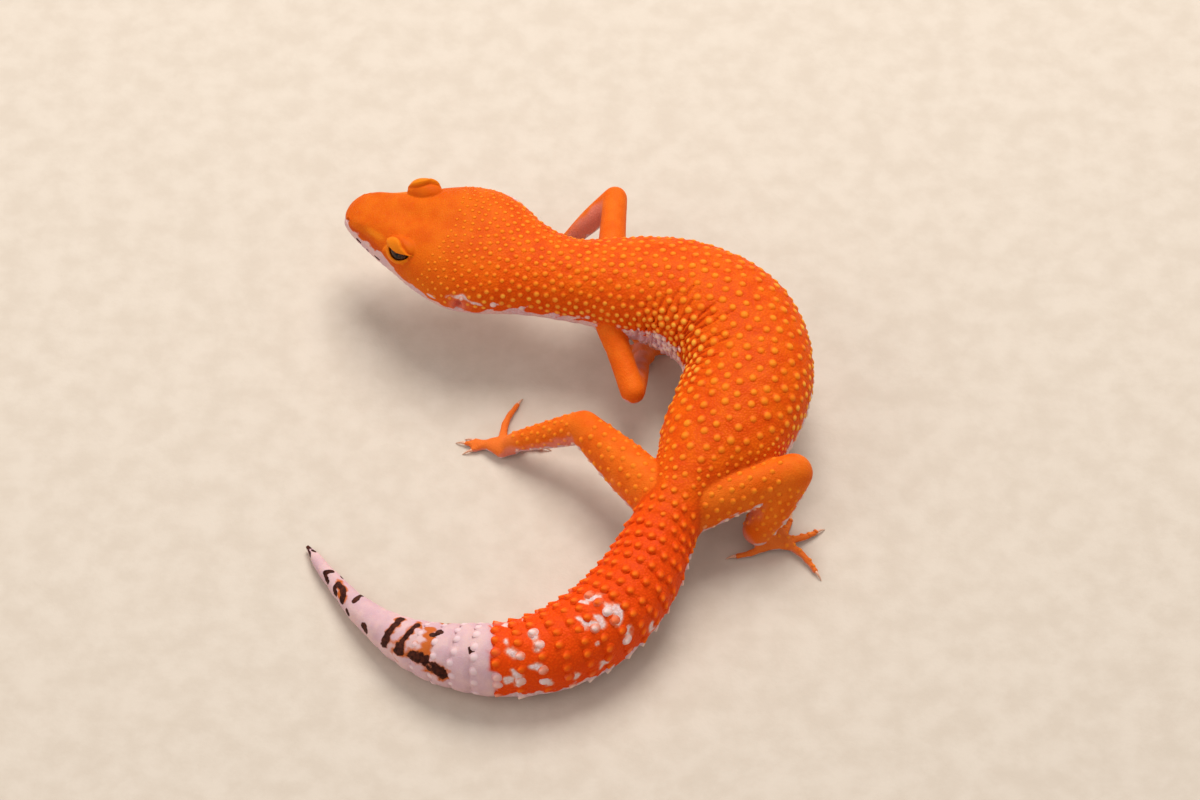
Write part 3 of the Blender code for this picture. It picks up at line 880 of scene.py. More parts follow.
# Marks are lines with a half width in millimetres, through places (station, turn in degrees).
DARK_MARKS = (
    (0.16, ((4.6, 89.0), (5.6, 91.0))),
    (0.13, ((7.0, 93.0), (7.6, 94.0))),
    (0.17, ((8.9, 91.0), (9.9, 92.0))),
    (0.16, ((5.6, -89.0), (6.5, -91.0))),
    (0.16, ((10.4, -90.0), (11.2, -92.0))),
    (0.42, ((151.7, -16.0), (151.4, -24.0))),
    (0.37, ((158.2, 2.0), (156.8, 9.0))),
    (0.92, ((159.9, -52.0), (157.9, -57.0))),
    (0.85, ((156.6, -61.0), (155.4, -75.0))),
    (0.49, ((161.5, 19.0), (161.7, -12.0), (162.2, -34.0))),
    (0.79, ((162.2, -46.0), (162.3, -61.0))),
    (0.55, ((165.1, 26.0), (164.9, -12.0), (165.1, -34.0))),
    (0.73, ((165.1, -36.0), (165.1, -66.0))),
    (0.61, ((170.1, -68.0), (169.5, -77.0))),
    (0.43, ((174.7, -73.0), (174.3, -79.0))),
    (0.43, ((174.9, 39.0), (174.7, 10.0), (174.5, -14.0))),
    (0.48, ((178.5, -64.0), (179.3, -44.0), (179.5, -8.0), (178.3, -5.0), (176.9, -27.0), (176.5, -60.0))),
    (0.5, ((181.5, -62.0), (182.5, -48.0), (182.9, -30.0), (182.6, -4.0), (182.4, 24.0))),
    (0.55, ((189.6, 40.0), (189.6, -40.0))),
    (0.3, ((188.6, 10.0), (188.0, 34.0))),
    (0.37, ((188.7, -47.0), (187.9, -74.0))),
    (0.73, ((157.0, 62.0), (158.0, 96.0))),
    (0.55, ((163.0, 60.0), (163.4, 100.0))),
    (0.61, ((168.6, 66.0), (168.0, 96.0))),
    (0.49, ((174.0, 66.0), (174.2, 92.0))),
    (0.49, ((180.6, 60.0), (181.4, 95.0))),
)
RUST_MARKS = (
    (0.92, ((158.7, 10.0), (158.3, -17.0), (158.1, -34.0), (158.9, -50.0))),
    (1.22, ((160.0, -48.0), (157.9, -57.0))),
    (1.1, ((156.8, -60.0), (155.4, -76.0))),
    (0.73, ((161.5, 20.0), (161.7, -12.0), (162.2, -34.0))),
    (1.04, ((162.2, -42.0), (162.3, -62.0))),
    (0.76, ((165.1, 26.0), (164.9, -12.0), (165.1, -34.0), (165.1, -64.0))),
    (0.76, ((179.5, -8.0), (178.3, -5.0), (176.7, -40.0))),
    (1.1, ((157.6, 58.0), (158.4, 98.0))),
)
EAR_MARKS = (
    (0.4, ((23.6, 75.0), (24.4, 71.0), (25.4, 72.0), (26.2, 69.0), (27.4, 75.0))),
    (0.3, ((28.0, 78.0), (29.0, 81.0))),
)
RIGHT_EAR_MARKS = tuple((width, tuple((place, -turn) for place, turn in line)) for width, line in EAR_MARKS)
WHITE_MARKS = (
    *EAR_MARKS,
    *RIGHT_EAR_MARKS,
    (0.25, ((30.6, 80.0), (31.4, 81.0))),
    (0.3, ((20.0, 84.0), (21.2, 85.0))),
    (0.75, ((131.1, 13.0), (129.7, 6.0))),
    (0.4, ((132.9, 20.0), (131.9, 9.0))),
    (0.85, ((130.1, -16.0), (129.3, -28.0), (130.2, -38.0))),
    (0.6, ((132.3, -15.0), (132.4, -30.0))),
    (0.75, ((134.3, -17.0), (133.4, -24.0))),
    (0.45, ((134.9, -3.0), (134.7, -7.0))),
    (0.55, ((129.7, -57.0), (130.4, -72.0))),
    (0.55, ((126.5, -84.0), (126.4, -98.0))),
    (0.3, ((134.4, -48.0), (134.5, -51.0))),
    (0.6, ((134.5, -85.0), (134.6, -90.0))),
    (0.55, ((138.4, -86.0), (138.2, -90.0))),
    (0.65, ((142.3, 3.0), (142.0, -5.0))),
    (0.6, ((142.1, -17.0), (142.1, -24.0))),
    (0.65, ((146.1, -21.0), (145.3, -29.0))),
    (0.4, ((146.5, 0.0), (146.5, -5.0))),
    (0.6, ((146.3, 35.0), (146.4, 43.0))),
    (0.5, ((142.9, 44.0), (142.8, 50.0))),
    (0.5, ((143.3, -50.0), (142.3, -55.0))),
    (0.5, ((145.9, -54.0), (145.3, -68.0), (145.5, -84.0))),
    (0.6, ((146.8, -68.0), (146.6, -74.0))),
    (0.5, ((141.9, -82.0), (141.7, -88.0))),
    (0.6, ((138.6, 62.0), (137.8, 70.0))),
    (0.7, ((133.0, 74.0), (131.0, 80.0))),
    (0.7, ((145.0, 74.0), (146.0, 88.0))),
)


def mark_field(station, turn, marks, ragged):
    """One inside the marks and falling to 0 at their edges and below 0 outside."""
    place = np.stack([station, turn * section(station)[:, :2].mean(1)], -1)
    field = np.full(len(station), FAR_OUTSIDE)
    stations = [row[0] for row in PROFILE]
    girths = [(row[1] + row[2]) / 2.0 for row in PROFILE]
    for width, line in marks:
        line = np.array(line)
        radius = np.interp(line[:, 0], stations, girths)
        line = np.stack([line[:, 0], np.radians(line[:, 1]) * radius], -1)
        for first, second in zip(line, line[1:]):
            _, away = along_line(place, first, second)
            field = np.maximum(field, 1.0 - away / width)
    return field + ragged


def body_fields(station, turn, point):
    side = np.degrees(np.abs(turn))
    coarse, fine = ripple(point, 4.0, 11), ripple(point, 1.6, 12)
    edge = np.interp(station, *BELLY_EDGE) + 4.0 * coarse + 4.0 * fine
    pale = smooth_step(station + 0.5 * coarse + 0.35 * fine, PALE_TAIL_START - 0.4, PALE_TAIL_START + 0.4)
    rim = np.maximum(smooth_step(side - edge, -62.0, -14.0), inner_corner(station, turn))
    return {
        "belly": smooth_step(side - edge, -8.0, 8.0),
        "rim": rim * fade(station, 112.0, 122.0),
        "pale": pale,
        "dark": mark_field(station, turn, DARK_MARKS, 0.22 * fine),
        "rust": mark_field(station, turn, RUST_MARKS, 0.35 * fine),
        "white": mark_field(station, turn, WHITE_MARKS, 0.3 * fine + 0.2 * coarse),
        "head": fade(station, 17.0, 34.0),
        "red": smooth_step(station, 102.0, 116.0) * (1.0 - pale),
        "lore": lore_field(station, side),
        "pink": hill(np.hypot((station - EAR_STATION) / 1.2, (side - EAR_TURN) / 11.0), 1.0),
        "limb": np.zeros(len(station)),
        "foot": np.zeros(len(station)),
    }


def inner_corner(station, turn):
    """How near each place is to the inside of the body's bend, where the scales crowd."""
    return smooth_step(np.degrees(turn), 18.0, 55.0) * band(station, 52.0, 60.0, 84.0, 94.0)


def lore_field(station, side):
    """The darker stripe from the nostril to below the eye, positive, and the yellow over it, negative."""
    yellow = 0.8 * hill(side - 47.0, 8.0) * smooth_step(station, 5.0, 7.5)
    return band(station, 1.5, 3.5, 9.0, 12.0) * (hill(side - 68.0, 9.0) - yellow)


def limb_fields(plan, point, normal, inner):
    shoulder, elbow, ankle = (np.array(joint) for joint in plan["joints"])
    palm = np.array((*plan["palm"], PALM_HEIGHT))
    foot = fade(np.linalg.norm(point - palm, axis=1), 2.5, 5.5)
    folded = unit((shoulder + ankle) / 2.0 - elbow)
    down = -normal[:, 2]
    fields = {
        "belly": smooth_step(down + 0.15 * ripple(point, 2.0, 13), 0.0, 0.5) * 0.9,
        "rim": 0.35 + 0.3 * smooth_step(down, -0.4, 0.3),
        "pink": smooth_step(normal @ folded + 0.12 * ripple(point, 2.4, 14), inner, inner + 0.5),
        "limb": 1.0,
        "foot": np.maximum(foot, fade(point[:, 2], 1.6, 3.0)),
    }
    fields.update(dict.fromkeys(("dark", "rust", "white"), FAR_OUTSIDE))
    fields.update(dict.fromkeys(("pale", "head", "red", "lore"), 0.0))
    return fields


def skin_fields(skin):
    """Every field over the whole skin, blended where a limb joins the body."""
    facts = skin.facts
    fields = body_fields(facts["station"], facts["turn"], skin.points)
    for number, (leg, plan) in enumerate(LEGS.items(), 1):
        chosen = facts["kind"] == number
        inner = 0.05 if leg.startswith("front") else 0.4
        for name, values in limb_fields(plan, skin.points[chosen], facts["normal"][chosen], inner).items():
            fields[name][chosen] = values
    on_lid = facts["kind"] > len(LEGS)
    for name in ("belly", "rim", "lore", "pink"):
        fields[name][on_lid] = 0.0
    rows = relax(np.stack(list(fields.values()), -1), facts["edges"], 0.7 * facts["near_limb"], 8)
    fields = dict(zip(fields, rows.T))
    return {**fields, "crest": facts["crest"], "lid": on_lid.astype(float), "groove": facts["groove"]}


# ---- Raised scales


def packed_places(points, pitch, order):
    """Numbers of points at least a pitch apart, chosen along an order so that they pack evenly."""
    cell = float(pitch.max())
    cells = np.floor(points / cell).astype(int)
    taken = {}
    chosen = []
    steps = [(i, j, k) for i in (-1, 0, 1) for j in (-1, 0, 1) for k in (-1, 0, 1)]
    for number in order:
        x, y, z = cells[number]
        point, least = points[number], pitch[number] ** 2
        near = (other for i, j, k in steps for other in taken.get((x + i, y + j, z + k), ()))
        if all(((points[other] - point) ** 2).sum() >= least for other in near):
            taken.setdefault((x, y, z), []).append(number)
            chosen.append(number)
    return np.array(chosen)


def scale_points(skin, chosen, lean, radius, height, profile, slant, curve):
    """The points of each scale: the rings of its profile and its tip, leaning backwards.

    Curve is the radius of the body or limb under them, which the foot of each scale follows.
    """
    root, normal = skin.points[chosen], skin.facts["calm_normal"][chosen]
    back = unit(lean - normal * np.sum(lean * normal, axis=1, keepdims=True))
    across = np.cross(normal, back)
    angles = np.linspace(0.0, 2.0 * math.pi, SCALE_SIDES, endpoint=False)[:, None]
    circle = back[:, None] * np.cos(angles) * 1.08 + across[:, None] * np.sin(angles)
    levels = []
    for width, rise in profile.transpose(1, 2, 0):
        reach = radius * width
        lift = normal * (height * rise - reach**2 * 0.35 / curve)[:, None]
        shift = back * (radius * slant * np.maximum(rise, 0.0))[:, None]
        levels.append(root[:, None] + circle * reach[:, None, None] + lift[:, None] + shift[:, None])
    apex = root + normal * height[:, None] + back * (radius * slant)[:, None]
    return np.concatenate([*levels, apex[:, None]], 1)


def scale_faces():
    """The faces of one scale: bands between its rings and a fan to its tip."""
    faces = []
    for start in range(0, (len(SCALE_PROFILE) - 1) * SCALE_SIDES, SCALE_SIDES):
        for a in range(start, start + SCALE_SIDES):
            b = start + (a + 1 - start) % SCALE_SIDES
            faces.append((a, b, b + SCALE_SIDES, a + SCALE_SIDES))
    top, tip = (len(SCALE_PROFILE) - 1) * SCALE_SIDES, len(SCALE_PROFILE) * SCALE_SIDES
    return faces + [(top + a, top + (a + 1) % SCALE_SIDES, tip) for a in range(SCALE_SIDES)]


def scale_patch():
    """Where the points of one scale lie round its spot in the UV map."""
    rings = len(SCALE_PROFILE)
    reach = np.concatenate([np.repeat(np.linspace(1.0, 0.3, rings), SCALE_SIDES), [0.0]])
    angles = np.linspace(0.0, 2.0 * math.pi, SCALE_SIDES, endpoint=False)
    around = np.concatenate([np.tile(angles, rings), [0.0]])
    return np.stack([np.cos(around) * reach, np.sin(around) * reach], -1) * PATCH_SIZE / 2.0


def add_scales(name, skin, fields, material, chosen, lean, radius, height, sharp, spots, curve):
    """A piece of raised scales, each a dome on its place, in one mesh."""
    parts = sharp[:, None, None]
    profile = np.array(SCALE_PROFILE) * (1.0 - parts) + np.array(SHARP_PROFILE) * parts
    points = scale_points(skin, chosen, lean, radius, height, profile, 0.2 + 0.9 * sharp, curve)
    count, block = points.shape[:2]
    starts, one = range(0, count * block, block), scale_faces()
    faces = [tuple(corner + start for corner in face) for start in starts for face in one]
    tip = np.concatenate([np.repeat(profile[0, :, 1].clip(0.0), SCALE_SIDES), [1.0]])
    fields = {key: np.repeat(values[chosen], block) for key, values in fields.items()}
    fields.update(tip=np.tile(tip, count), chance=np.repeat(scatter(count), block))
    made = add_piece(name, Shape(points.reshape(-1, 3), faces), fields, material)
    corners = (spots[:, None] + scale_patch()).reshape(-1, 2)
    layer = made.data.uv_layers.new(name="OFBake")
    layer.data.foreach_set("uv", corners[np.array([corner for face in faces for corner in face])].ravel())
    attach(made, "root")


def scatter(count):
    return np.random.default_rng(SEED).random(count)


def add_fields(made, fields):
    for name, values in fields.items():
        layer = made.data.attributes.new(name, "FLOAT", "POINT")
        layer.data.foreach_set("value", np.asarray(values, np.float32))


def add_piece(name, shape, fields, material):
    """A smooth piece of the looks, in metres and in the shared frame."""
    made = to_object(name, shape, MM, ORIGIN)
    made.data.shade_smooth()
    add_fields(made, fields)
    made.data.materials.append(material)
    return made


def body_scale_sizes(station, turn, from_limb):
    """The pitch and radius of the raised scales at each place on the body."""
    pitch = np.interp(station, SCALE_STATIONS, SCALE_PITCHES)
    radius = np.interp(station, SCALE_STATIONS, SCALE_RADII)
    low = smooth_step(np.degrees(np.abs(turn)), 35.0, 80.0) * smooth_step(station, 30.0, 50.0)
    inner = inner_corner(station, turn)
    crease = smooth_step(station, 70.0, 80.0) * fade(from_limb, 1.5, 5.0)
    pitch = pitch * (1.0 - 0.3 * low - 0.22 * inner) * (1.0 - 0.4 * crease)
    return pitch, radius * (1.0 - 0.24 * low - 0.06 * inner) * (1.0 - 0.4 * crease)


def body_places(skin):
    """Where the raised scales of the head, neck and trunk stand."""
    facts = skin.facts
    station, side = facts["station"], np.degrees(np.abs(facts["turn"]))
    eyes = [np.linalg.norm(skin.points - eye_axes(way)[0], axis=1) for way in (1.0, -1.0)]
    ear = np.hypot((station - EAR_STATION) / 1.5, (side - EAR_TURN) / 13.0)
    fits = (
        (facts["kind"] == 0)
        & (station > 20.5 - 0.04 * side)
        & (station < TAIL_START - 2.6)
        & (side < np.interp(station, *SCALE_EDGE))
        & (facts["from_limb"] > 0.45)
        & (np.minimum(*eyes) > 4.6)
        & (ear > 1.0)
        & (facts["bent_in"] < 0.3)
    )
    numbers = np.flatnonzero(fits)
    pitch, _ = body_scale_sizes(station, facts["turn"], facts["from_limb"])
    wobble = 0.3 * ripple(skin.points[numbers], 1.1, 21)
    order = numbers[np.argsort(station[numbers] + wobble, kind="stable")]
    return packed_places(skin.points, pitch, order)


def tail_places(skin):
    """Where the pointed scales stand: at the rear edge of each ring of the tail, staggered."""
    rng = np.random.default_rng(SEED + 1)
    places = np.arange(TAIL_START - 2.0, SCALED_TAIL_END, 0.02)
    edges = np.flatnonzero(np.diff(np.floor(ring_number(places) + 0.2)))
    points = []
    for ring, station in enumerate(places[edges]):
        radius = section(np.array([station]))[0, :2].mean()
        count = int(round(2.0 * math.pi * radius / TAIL_SCALE_PITCH))
        for k in range(count):
            turn = 2.0 * math.pi * (k + 0.5 * (ring % 2) + rng.uniform(-0.12, 0.12)) / count
            turn = (turn + math.pi) % (2.0 * math.pi) - math.pi
            if abs(turn) < math.radians(TAIL_SCALE_TURN):
                place = np.array([station + rng.uniform(-0.2, 0.2)])
                points.append(body_points(place, turn, coat_depth(place, np.array([turn])))[0])
    body = np.flatnonzero((skin.facts["kind"] == 0) & (skin.facts["station"] > TAIL_START - 4.0))
    chosen = np.unique(body[nearest_of(skin.points[body], points)[0]])
    return chosen[skin.facts["from_limb"][chosen] > 0.5]


def limb_places(skin, number, plan):
    """Where the raised scales of a hind leg stand, their lean and the pitch between them."""
    shoulder, elbow, ankle = (np.array(joint) for joint in plan["joints"])
    chosen = np.flatnonzero((skin.facts["kind"] == number) & (skin.facts["from_limb"] > 0.6))
    point, normal = skin.points[chosen], skin.facts["normal"][chosen]
    upper, off_upper = along_line(point, shoulder, elbow)
    lower, off_lower = along_line(point, elbow, ankle)
    on_lower = off_lower < off_upper
    fits = (normal[:, 2] > -0.35) & np.where(on_lower, (lower > 0.12) & (lower < 1.0), upper < 0.9)
    pitch = np.full(len(skin.points), THIGH_PITCH)
    pitch[chosen[on_lower]] = SHIN_PITCH
    order = chosen[fits]
    along = np.where(on_lower, 1.0 + lower, upper)[fits] + 0.02 * ripple(skin.points[order], 1.1, 22)
    picked = packed_places(skin.points, pitch, order[np.argsort(along)])
    on_shin = (pitch[picked] == SHIN_PITCH)[:, None]
    return picked, np.where(on_shin, unit(ankle - elbow), unit(elbow - shoulder)), pitch[picked]


# ---- Eyes and claws


def eye_shape(way):
    """An eyeball whose cornea bulges a little, with each point's angles from its axis, in degrees."""
    centre, along, outward, up = eye_axes(way)
    polar = np.radians(np.concatenate([np.linspace(0.5, 60.0, 60), np.linspace(62.0, 178.0, 40)]))
    around = np.linspace(0.0, 2.0 * math.pi, 72, endpoint=False)[:, None]
    circle = along * np.cos(around) + up * np.sin(around)
    rings = []
    for angle in polar:
        size = EYE_RADIUS - EYE_FIT + CORNEA_BULGE * hill(math.degrees(angle), 36.0)
        rings.append(centre + (outward * math.cos(angle) + circle * math.sin(angle)) * size)
    shape = outward_facing(tube(rings))
    aim = unit(shape.points - centre)
    shares = {name: np.clip(aim @ axis, -1.0, 1.0) for name, axis in (("across", along), ("rise", up))}
    shape.facts = {"polar": np.degrees(np.arccos(np.clip(aim @ outward, -1.0, 1.0)))}
    shape.facts.update({name: np.degrees(np.arcsin(share)) for name, share in shares.items()})
    return shape


def claw_shape(palm, heading, turn, reach):
    """A claw: a tapered cone that curves down from inside the toe's tip."""
    path = toe_path(palm, heading, turn, reach)
    along = unit(path[-1] - path[-3])
    start = path[-1] + along * CLAW_START
    parts = np.linspace(0.0, 1.0, 12)
    length = TOE_TIP_RADIUS + CLAW_GAP + CLAW_SHARE * CLAW_LENGTH - CLAW_START
    droop = np.array((0.0, 0.0, -1.0))
    line = start + along * (parts * length)[:, None]
    line += droop * (0.34 * parts**2 - 0.5 * parts * (1.0 - parts))[:, None]
    line[:, 2] = np.maximum(line[:, 2], FLOOR_CLEARANCE + 0.06)
    return swept(line, CLAW_RADIUS * (1.0 - parts) ** 0.8 + CLAW_TIP_RADIUS, 12, 1.15, 4)


# ---- Materials


def colour(red, green, blue):
    """A colour given in screen values of 0 to 255, as Blender's own linear values."""
    values = np.array((red, green, blue)) / 255.0
    linear = np.where(values <= 0.04045, values / 12.92, ((values + 0.055) / 1.055) ** 2.4)
    return (*linear, 1.0)


class Nodes:
    """A node material in the making: each method adds a node and returns its output."""

    def __init__(self, name):
        self.material = bpy.data.materials.new(name)
        self.material.use_nodes = True
        self.tree = self.material.node_tree
        self.tree.nodes.clear()
        self.place = self.add("ShaderNodeTexCoord", output="Object")

    def add(self, kind, inputs=None, output=0, **settings):
        node = self.tree.nodes.new(kind)
        for name, value in settings.items():
            setattr(node, name, value)
        for socket, value in (inputs or {}).items():
            if isinstance(value, bpy.types.NodeSocket):
                self.tree.links.new(value, node.inputs[socket])
            else:
                node.inputs[socket].default_value = value
        return node.outputs[output]

    def field(self, name):
        return self.add("ShaderNodeAttribute", output="Fac", attribute_name=name)

    def share(self, name, part):
        """A field multiplied by a part."""
        return self.maths("MULTIPLY", self.field(name), part)

    def maths(self, operation, first, second=0.0):
        return self.add("ShaderNodeMath", {0: first, 1: second}, operation=operation)

    def between(self, value, low, high):
        """0 below the low value, 1 above the high one, and smooth between."""
        inputs = {"Value": value, "From Min": low, "From Max": high}
        return self.add("ShaderNodeMapRange", inputs, interpolation_type="SMOOTHSTEP")

    def ranged(self, value, low, high):
        """A value of 0 to 1 stretched to run from low to high."""
        return self.add("ShaderNodeMapRange", {"Value": value, "To Min": low, "To Max": high})

    def blend(self, factor, first, second, kind="MIX"):
        """The first colour turning to the second. Either is an output or three screen values."""
        first, second = (colour(*ink) if isinstance(ink, tuple) else ink for ink in (first, second))
        inputs = {0: factor, 6: first, 7: second}
        return self.add("ShaderNodeMix", inputs, output=2, data_type="RGBA", blend_type=kind)

    def layered(self, base, layers):
        """A colour with others laid over it, each by its factor."""
        for factor, ink in layers:
            base = self.blend(factor, base, ink)
        return base

    def noise(self, size, detail=3.0, roughness=0.55):
        """Noise with features of about this size in millimetres."""
        inputs = {"Vector": self.place, "Scale": 1.0 / (size * MM), "Detail": detail, "Roughness": roughness}
        return self.add("ShaderNodeTexNoise", inputs)

    def cells(self, size):
        """The distance to the nearest of points strewn about this far apart in millimetres."""
        inputs = {"Vector": self.place, "Scale": 1.0 / (size * MM)}
        return self.add("ShaderNodeTexVoronoi", inputs, output="Distance", feature="F1")

    def bump(self, height, depth):
        """A bump whose height of 0 to 1 stands for a depth in millimetres."""
        return self.add("ShaderNodeBump", {"Height": height, "Distance": depth * MM, "Strength": 1.0})

    def finish(self, inputs):
        shader = self.add("ShaderNodeBsdfPrincipled", inputs)
        node = self.tree.nodes.new("ShaderNodeOutputMaterial")
        self.tree.links.new(shader, node.inputs["Surface"])
        return self.material


def skin_colour(nodes):
    """The colour of the skin between its raised scales, from the fields."""
    mottle = nodes.noise(3.2, 4.0)
    fine = nodes.noise(0.55, 2.0)
    rough_edge = nodes.ranged(nodes.noise(0.8, 4.0), -0.6, 0.6)
    lore = nodes.field("lore")
    ragged = nodes.maths("ADD", nodes.field("belly"), nodes.ranged(nodes.noise(0.9, 4.0), -0.6, 0.6))

    def mottled(low, high, first, second):
        return nodes.blend(nodes.between(mottle, low, high), first, second)

    def inside(name, low, high):
        return nodes.between(nodes.maths("ADD", nodes.field(name), rough_edge), low, high)

    ink = nodes.blend(nodes.between(fine, 0.35, 0.65), (52, 24, 20), (84, 42, 30))
    layers = (
        (nodes.share("rim", 0.4), (230, 84, 3)),
        (nodes.field("red"), (240, 78, 4)),
        (nodes.field("limb"), mottled(0.35, 0.65, (242, 108, 14), (250, 124, 26))),
        (nodes.share("head", 0.9), mottled(0.3, 0.7, (229, 102, 6), (237, 119, 13))),
        (nodes.between(lore, 0.15, 1.0), (218, 88, 14)),
        (nodes.between(nodes.maths("MULTIPLY", lore, -1.0), 0.1, 0.9), (250, 140, 22)),
        (nodes.share("crest", 0.85), (255, 150, 24)),
        (nodes.field("foot"), (248, 130, 50)),
        (nodes.share("pink", 0.8), (238, 150, 134)),
        (nodes.between(ragged, 0.32, 0.68), mottled(0.4, 0.6, (236, 206, 204), (226, 196, 206))),
        (nodes.field("pale"), mottled(0.35, 0.65, (224, 195, 208), (238, 211, 214))),
        # painted shade: deep red darkening in the fold grooves and the hip crease
        (nodes.share("groove", 0.6), (186, 48, 2)),
        (inside("white", -0.55, 0.55), (238, 156, 122)),
        (inside("white", 0.0, 0.75), (238, 212, 212)),
        (inside("rust", -0.35, 0.35), (214, 116, 52)),
        (inside("dark", -0.15, 0.15), ink),
    )
    return nodes.layered(mottled(0.35, 0.65, (230, 83, 2), (240, 101, 5)), layers)


def granules(nodes):
    """The tiny flat scales between the raised ones, as a height of 0 to 1."""
    pale = nodes.field("pale")
    small = nodes.maths("SUBTRACT", 0.6, nodes.between(nodes.cells(0.24), 0.1, 0.75))
    large = nodes.maths("SUBTRACT", 1.0, nodes.between(nodes.cells(0.4), 0.1, 0.8))
    smooth = nodes.maths("MAXIMUM", nodes.field("head"), nodes.field("limb"))
    larger = nodes.maths("SUBTRACT", 1.0, nodes.maths("MAXIMUM", smooth, pale))
    height = nodes.add("ShaderNodeMix", {0: larger, 2: small, 3: large}, data_type="FLOAT")
    flat = nodes.maths("MAXIMUM", nodes.field("lid"), pale)
    return nodes.maths("MULTIPLY", height, nodes.ranged(flat, 1.0, 0.4))


def scaly(nodes, base, height, roughness):
    """The skin's shader: the gaps between granules are darkened as painted shade, and light sinks in a
    little.
    """
    # painted shade: the base colour darkened where the granules' height is low, in the gaps between them
    gap_shade = nodes.blend(1.0, base, (214, 150, 120), "MULTIPLY")
    wet = nodes.noise(6.0, 3.0)
    return nodes.finish(
        {
            "Base Color": nodes.blend(nodes.ranged(height, 0.34, 0.0), base, gap_shade),
            "Roughness": nodes.ranged(wet, roughness - 0.05, roughness + 0.08),
            "Subsurface Weight": 0.08,
            "Subsurface Radius": (1.0, 0.35, 0.15),
            "Subsurface Scale": 0.6 * MM,
            "Specular IOR Level": 0.07,
            "Normal": nodes.bump(height, GRANULE_DEPTH),
        }
    )


def skin_material():
    nodes = Nodes("skin")
    return scaly(nodes, skin_colour(nodes), granules(nodes), 0.5)


def coat_material():
    """The raised scales: the skin's colour at their feet, and yellower or whiter towards their tips."""
    nodes = Nodes("raised_scales")
    low = nodes.between(nodes.field("rim"), 0.35, 1.0)
    layers = (
        (nodes.share("head", 0.8), (252, 144, 30)),
        (nodes.share("red", 0.95), (255, 118, 22)),
        (nodes.between(nodes.field("belly"), 0.02, 0.4), (246, 226, 206)),
        (nodes.field("pale"), (244, 220, 224)),
        (nodes.between(nodes.field("white"), -0.1, 0.15), (246, 228, 224)),
    )
    tip = nodes.layered(nodes.blend(low, (255, 150, 34), (255, 188, 68)), layers)
    keep = nodes.maths("SUBTRACT", 1.0, nodes.between(nodes.field("dark"), -0.2, 0.1))
    high = nodes.between(nodes.field("tip"), 0.02, 0.8)
    amount = nodes.maths("POWER", high, nodes.ranged(low, 1.0, 0.6))
    amount = nodes.maths("MULTIPLY", amount, nodes.ranged(nodes.field("chance"), 0.6, 1.0))
    base = nodes.blend(nodes.maths("MULTIPLY", amount, keep), skin_colour(nodes), tip)
    smooth = nodes.between(nodes.field("tip"), 0.0, 0.35)
    grain = nodes.ranged(nodes.noise(0.16, 2.0), 0.2, 0.6)
    height = nodes.add("ShaderNodeMix", {0: smooth, 2: granules(nodes), 3: grain}, data_type="FLOAT")
    return scaly(nodes, base, height, 0.48)


def eye_material():
    """A dark iris with golden veins round an upright slit pupil, under a clear wet cornea."""
    nodes = Nodes("eye")
    polar, across, rise = nodes.field("polar"), nodes.field("across"), nodes.field("rise")
    veins = nodes.noise(0.35, 5.0, 0.7)
    iris = nodes.blend(nodes.between(veins, 0.42, 0.66), (30, 15, 9), (104, 58, 26))
    iris = nodes.blend(nodes.between(polar, 40.0, 54.0), iris, (28, 14, 10))
    width = nodes.ranged(nodes.between(nodes.maths("ABSOLUTE", rise), 4.0, 34.0), 7.0, 0.6)
    slit = nodes.maths("SUBTRACT", nodes.maths("ABSOLUTE", across), width)
    iris = nodes.blend(nodes.between(slit, -0.6, 0.6), (4, 3, 3), iris)
    white = nodes.blend(nodes.between(veins, 0.4, 0.6), (90, 58, 50), (120, 84, 72))
    return nodes.finish(
        {
            "Base Color": nodes.blend(nodes.between(polar, 56.0, 64.0), iris, white),
            "Roughness": nodes.ranged(veins, 0.1, 0.22),
            "Specular IOR Level": 0.2,
            "Coat Weight": 0.2,
            "Coat Roughness": 0.04,
            "Normal": nodes.bump(veins, 0.015),
        }
    )


def claw_material():
    nodes = Nodes("claw")
    grain = nodes.noise(0.22, 4.0)
    horn = nodes.blend(nodes.between(nodes.field("tip"), 0.1, 0.9), (246, 186, 154), (224, 176, 148))
    streaks = nodes.blend(1.0, horn, (236, 224, 214), "MULTIPLY")
    return nodes.finish(
        {
            "Base Color": nodes.blend(nodes.between(grain, 0.3, 0.7), horn, streaks),
            "Roughness": nodes.ranged(grain, 0.26, 0.4),
            "Subsurface Weight": 0.1,
            "Subsurface Radius": (1.0, 0.5, 0.3),
            "Subsurface Scale": 0.3 * MM,
            "Normal": nodes.bump(grain, 0.01),
        }
    )


def floor_material():
    nodes = Nodes("floor")
    tone = nodes.blend(nodes.between(nodes.noise(5.0, 5.0), 0.3, 0.7), (211, 197, 181), (219, 206, 191))
    grain = nodes.bump(nodes.noise(0.7, 4.0), 0.03)
    return nodes.finish({"Base Color": tone, "Roughness": 0.85, "Normal": grain})


# ---- The scene


def add_skin(skin, fields):
    made = add_piece("skin", skin, fields, skin_material())
    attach(made, "root")
    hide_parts(*FLESH)


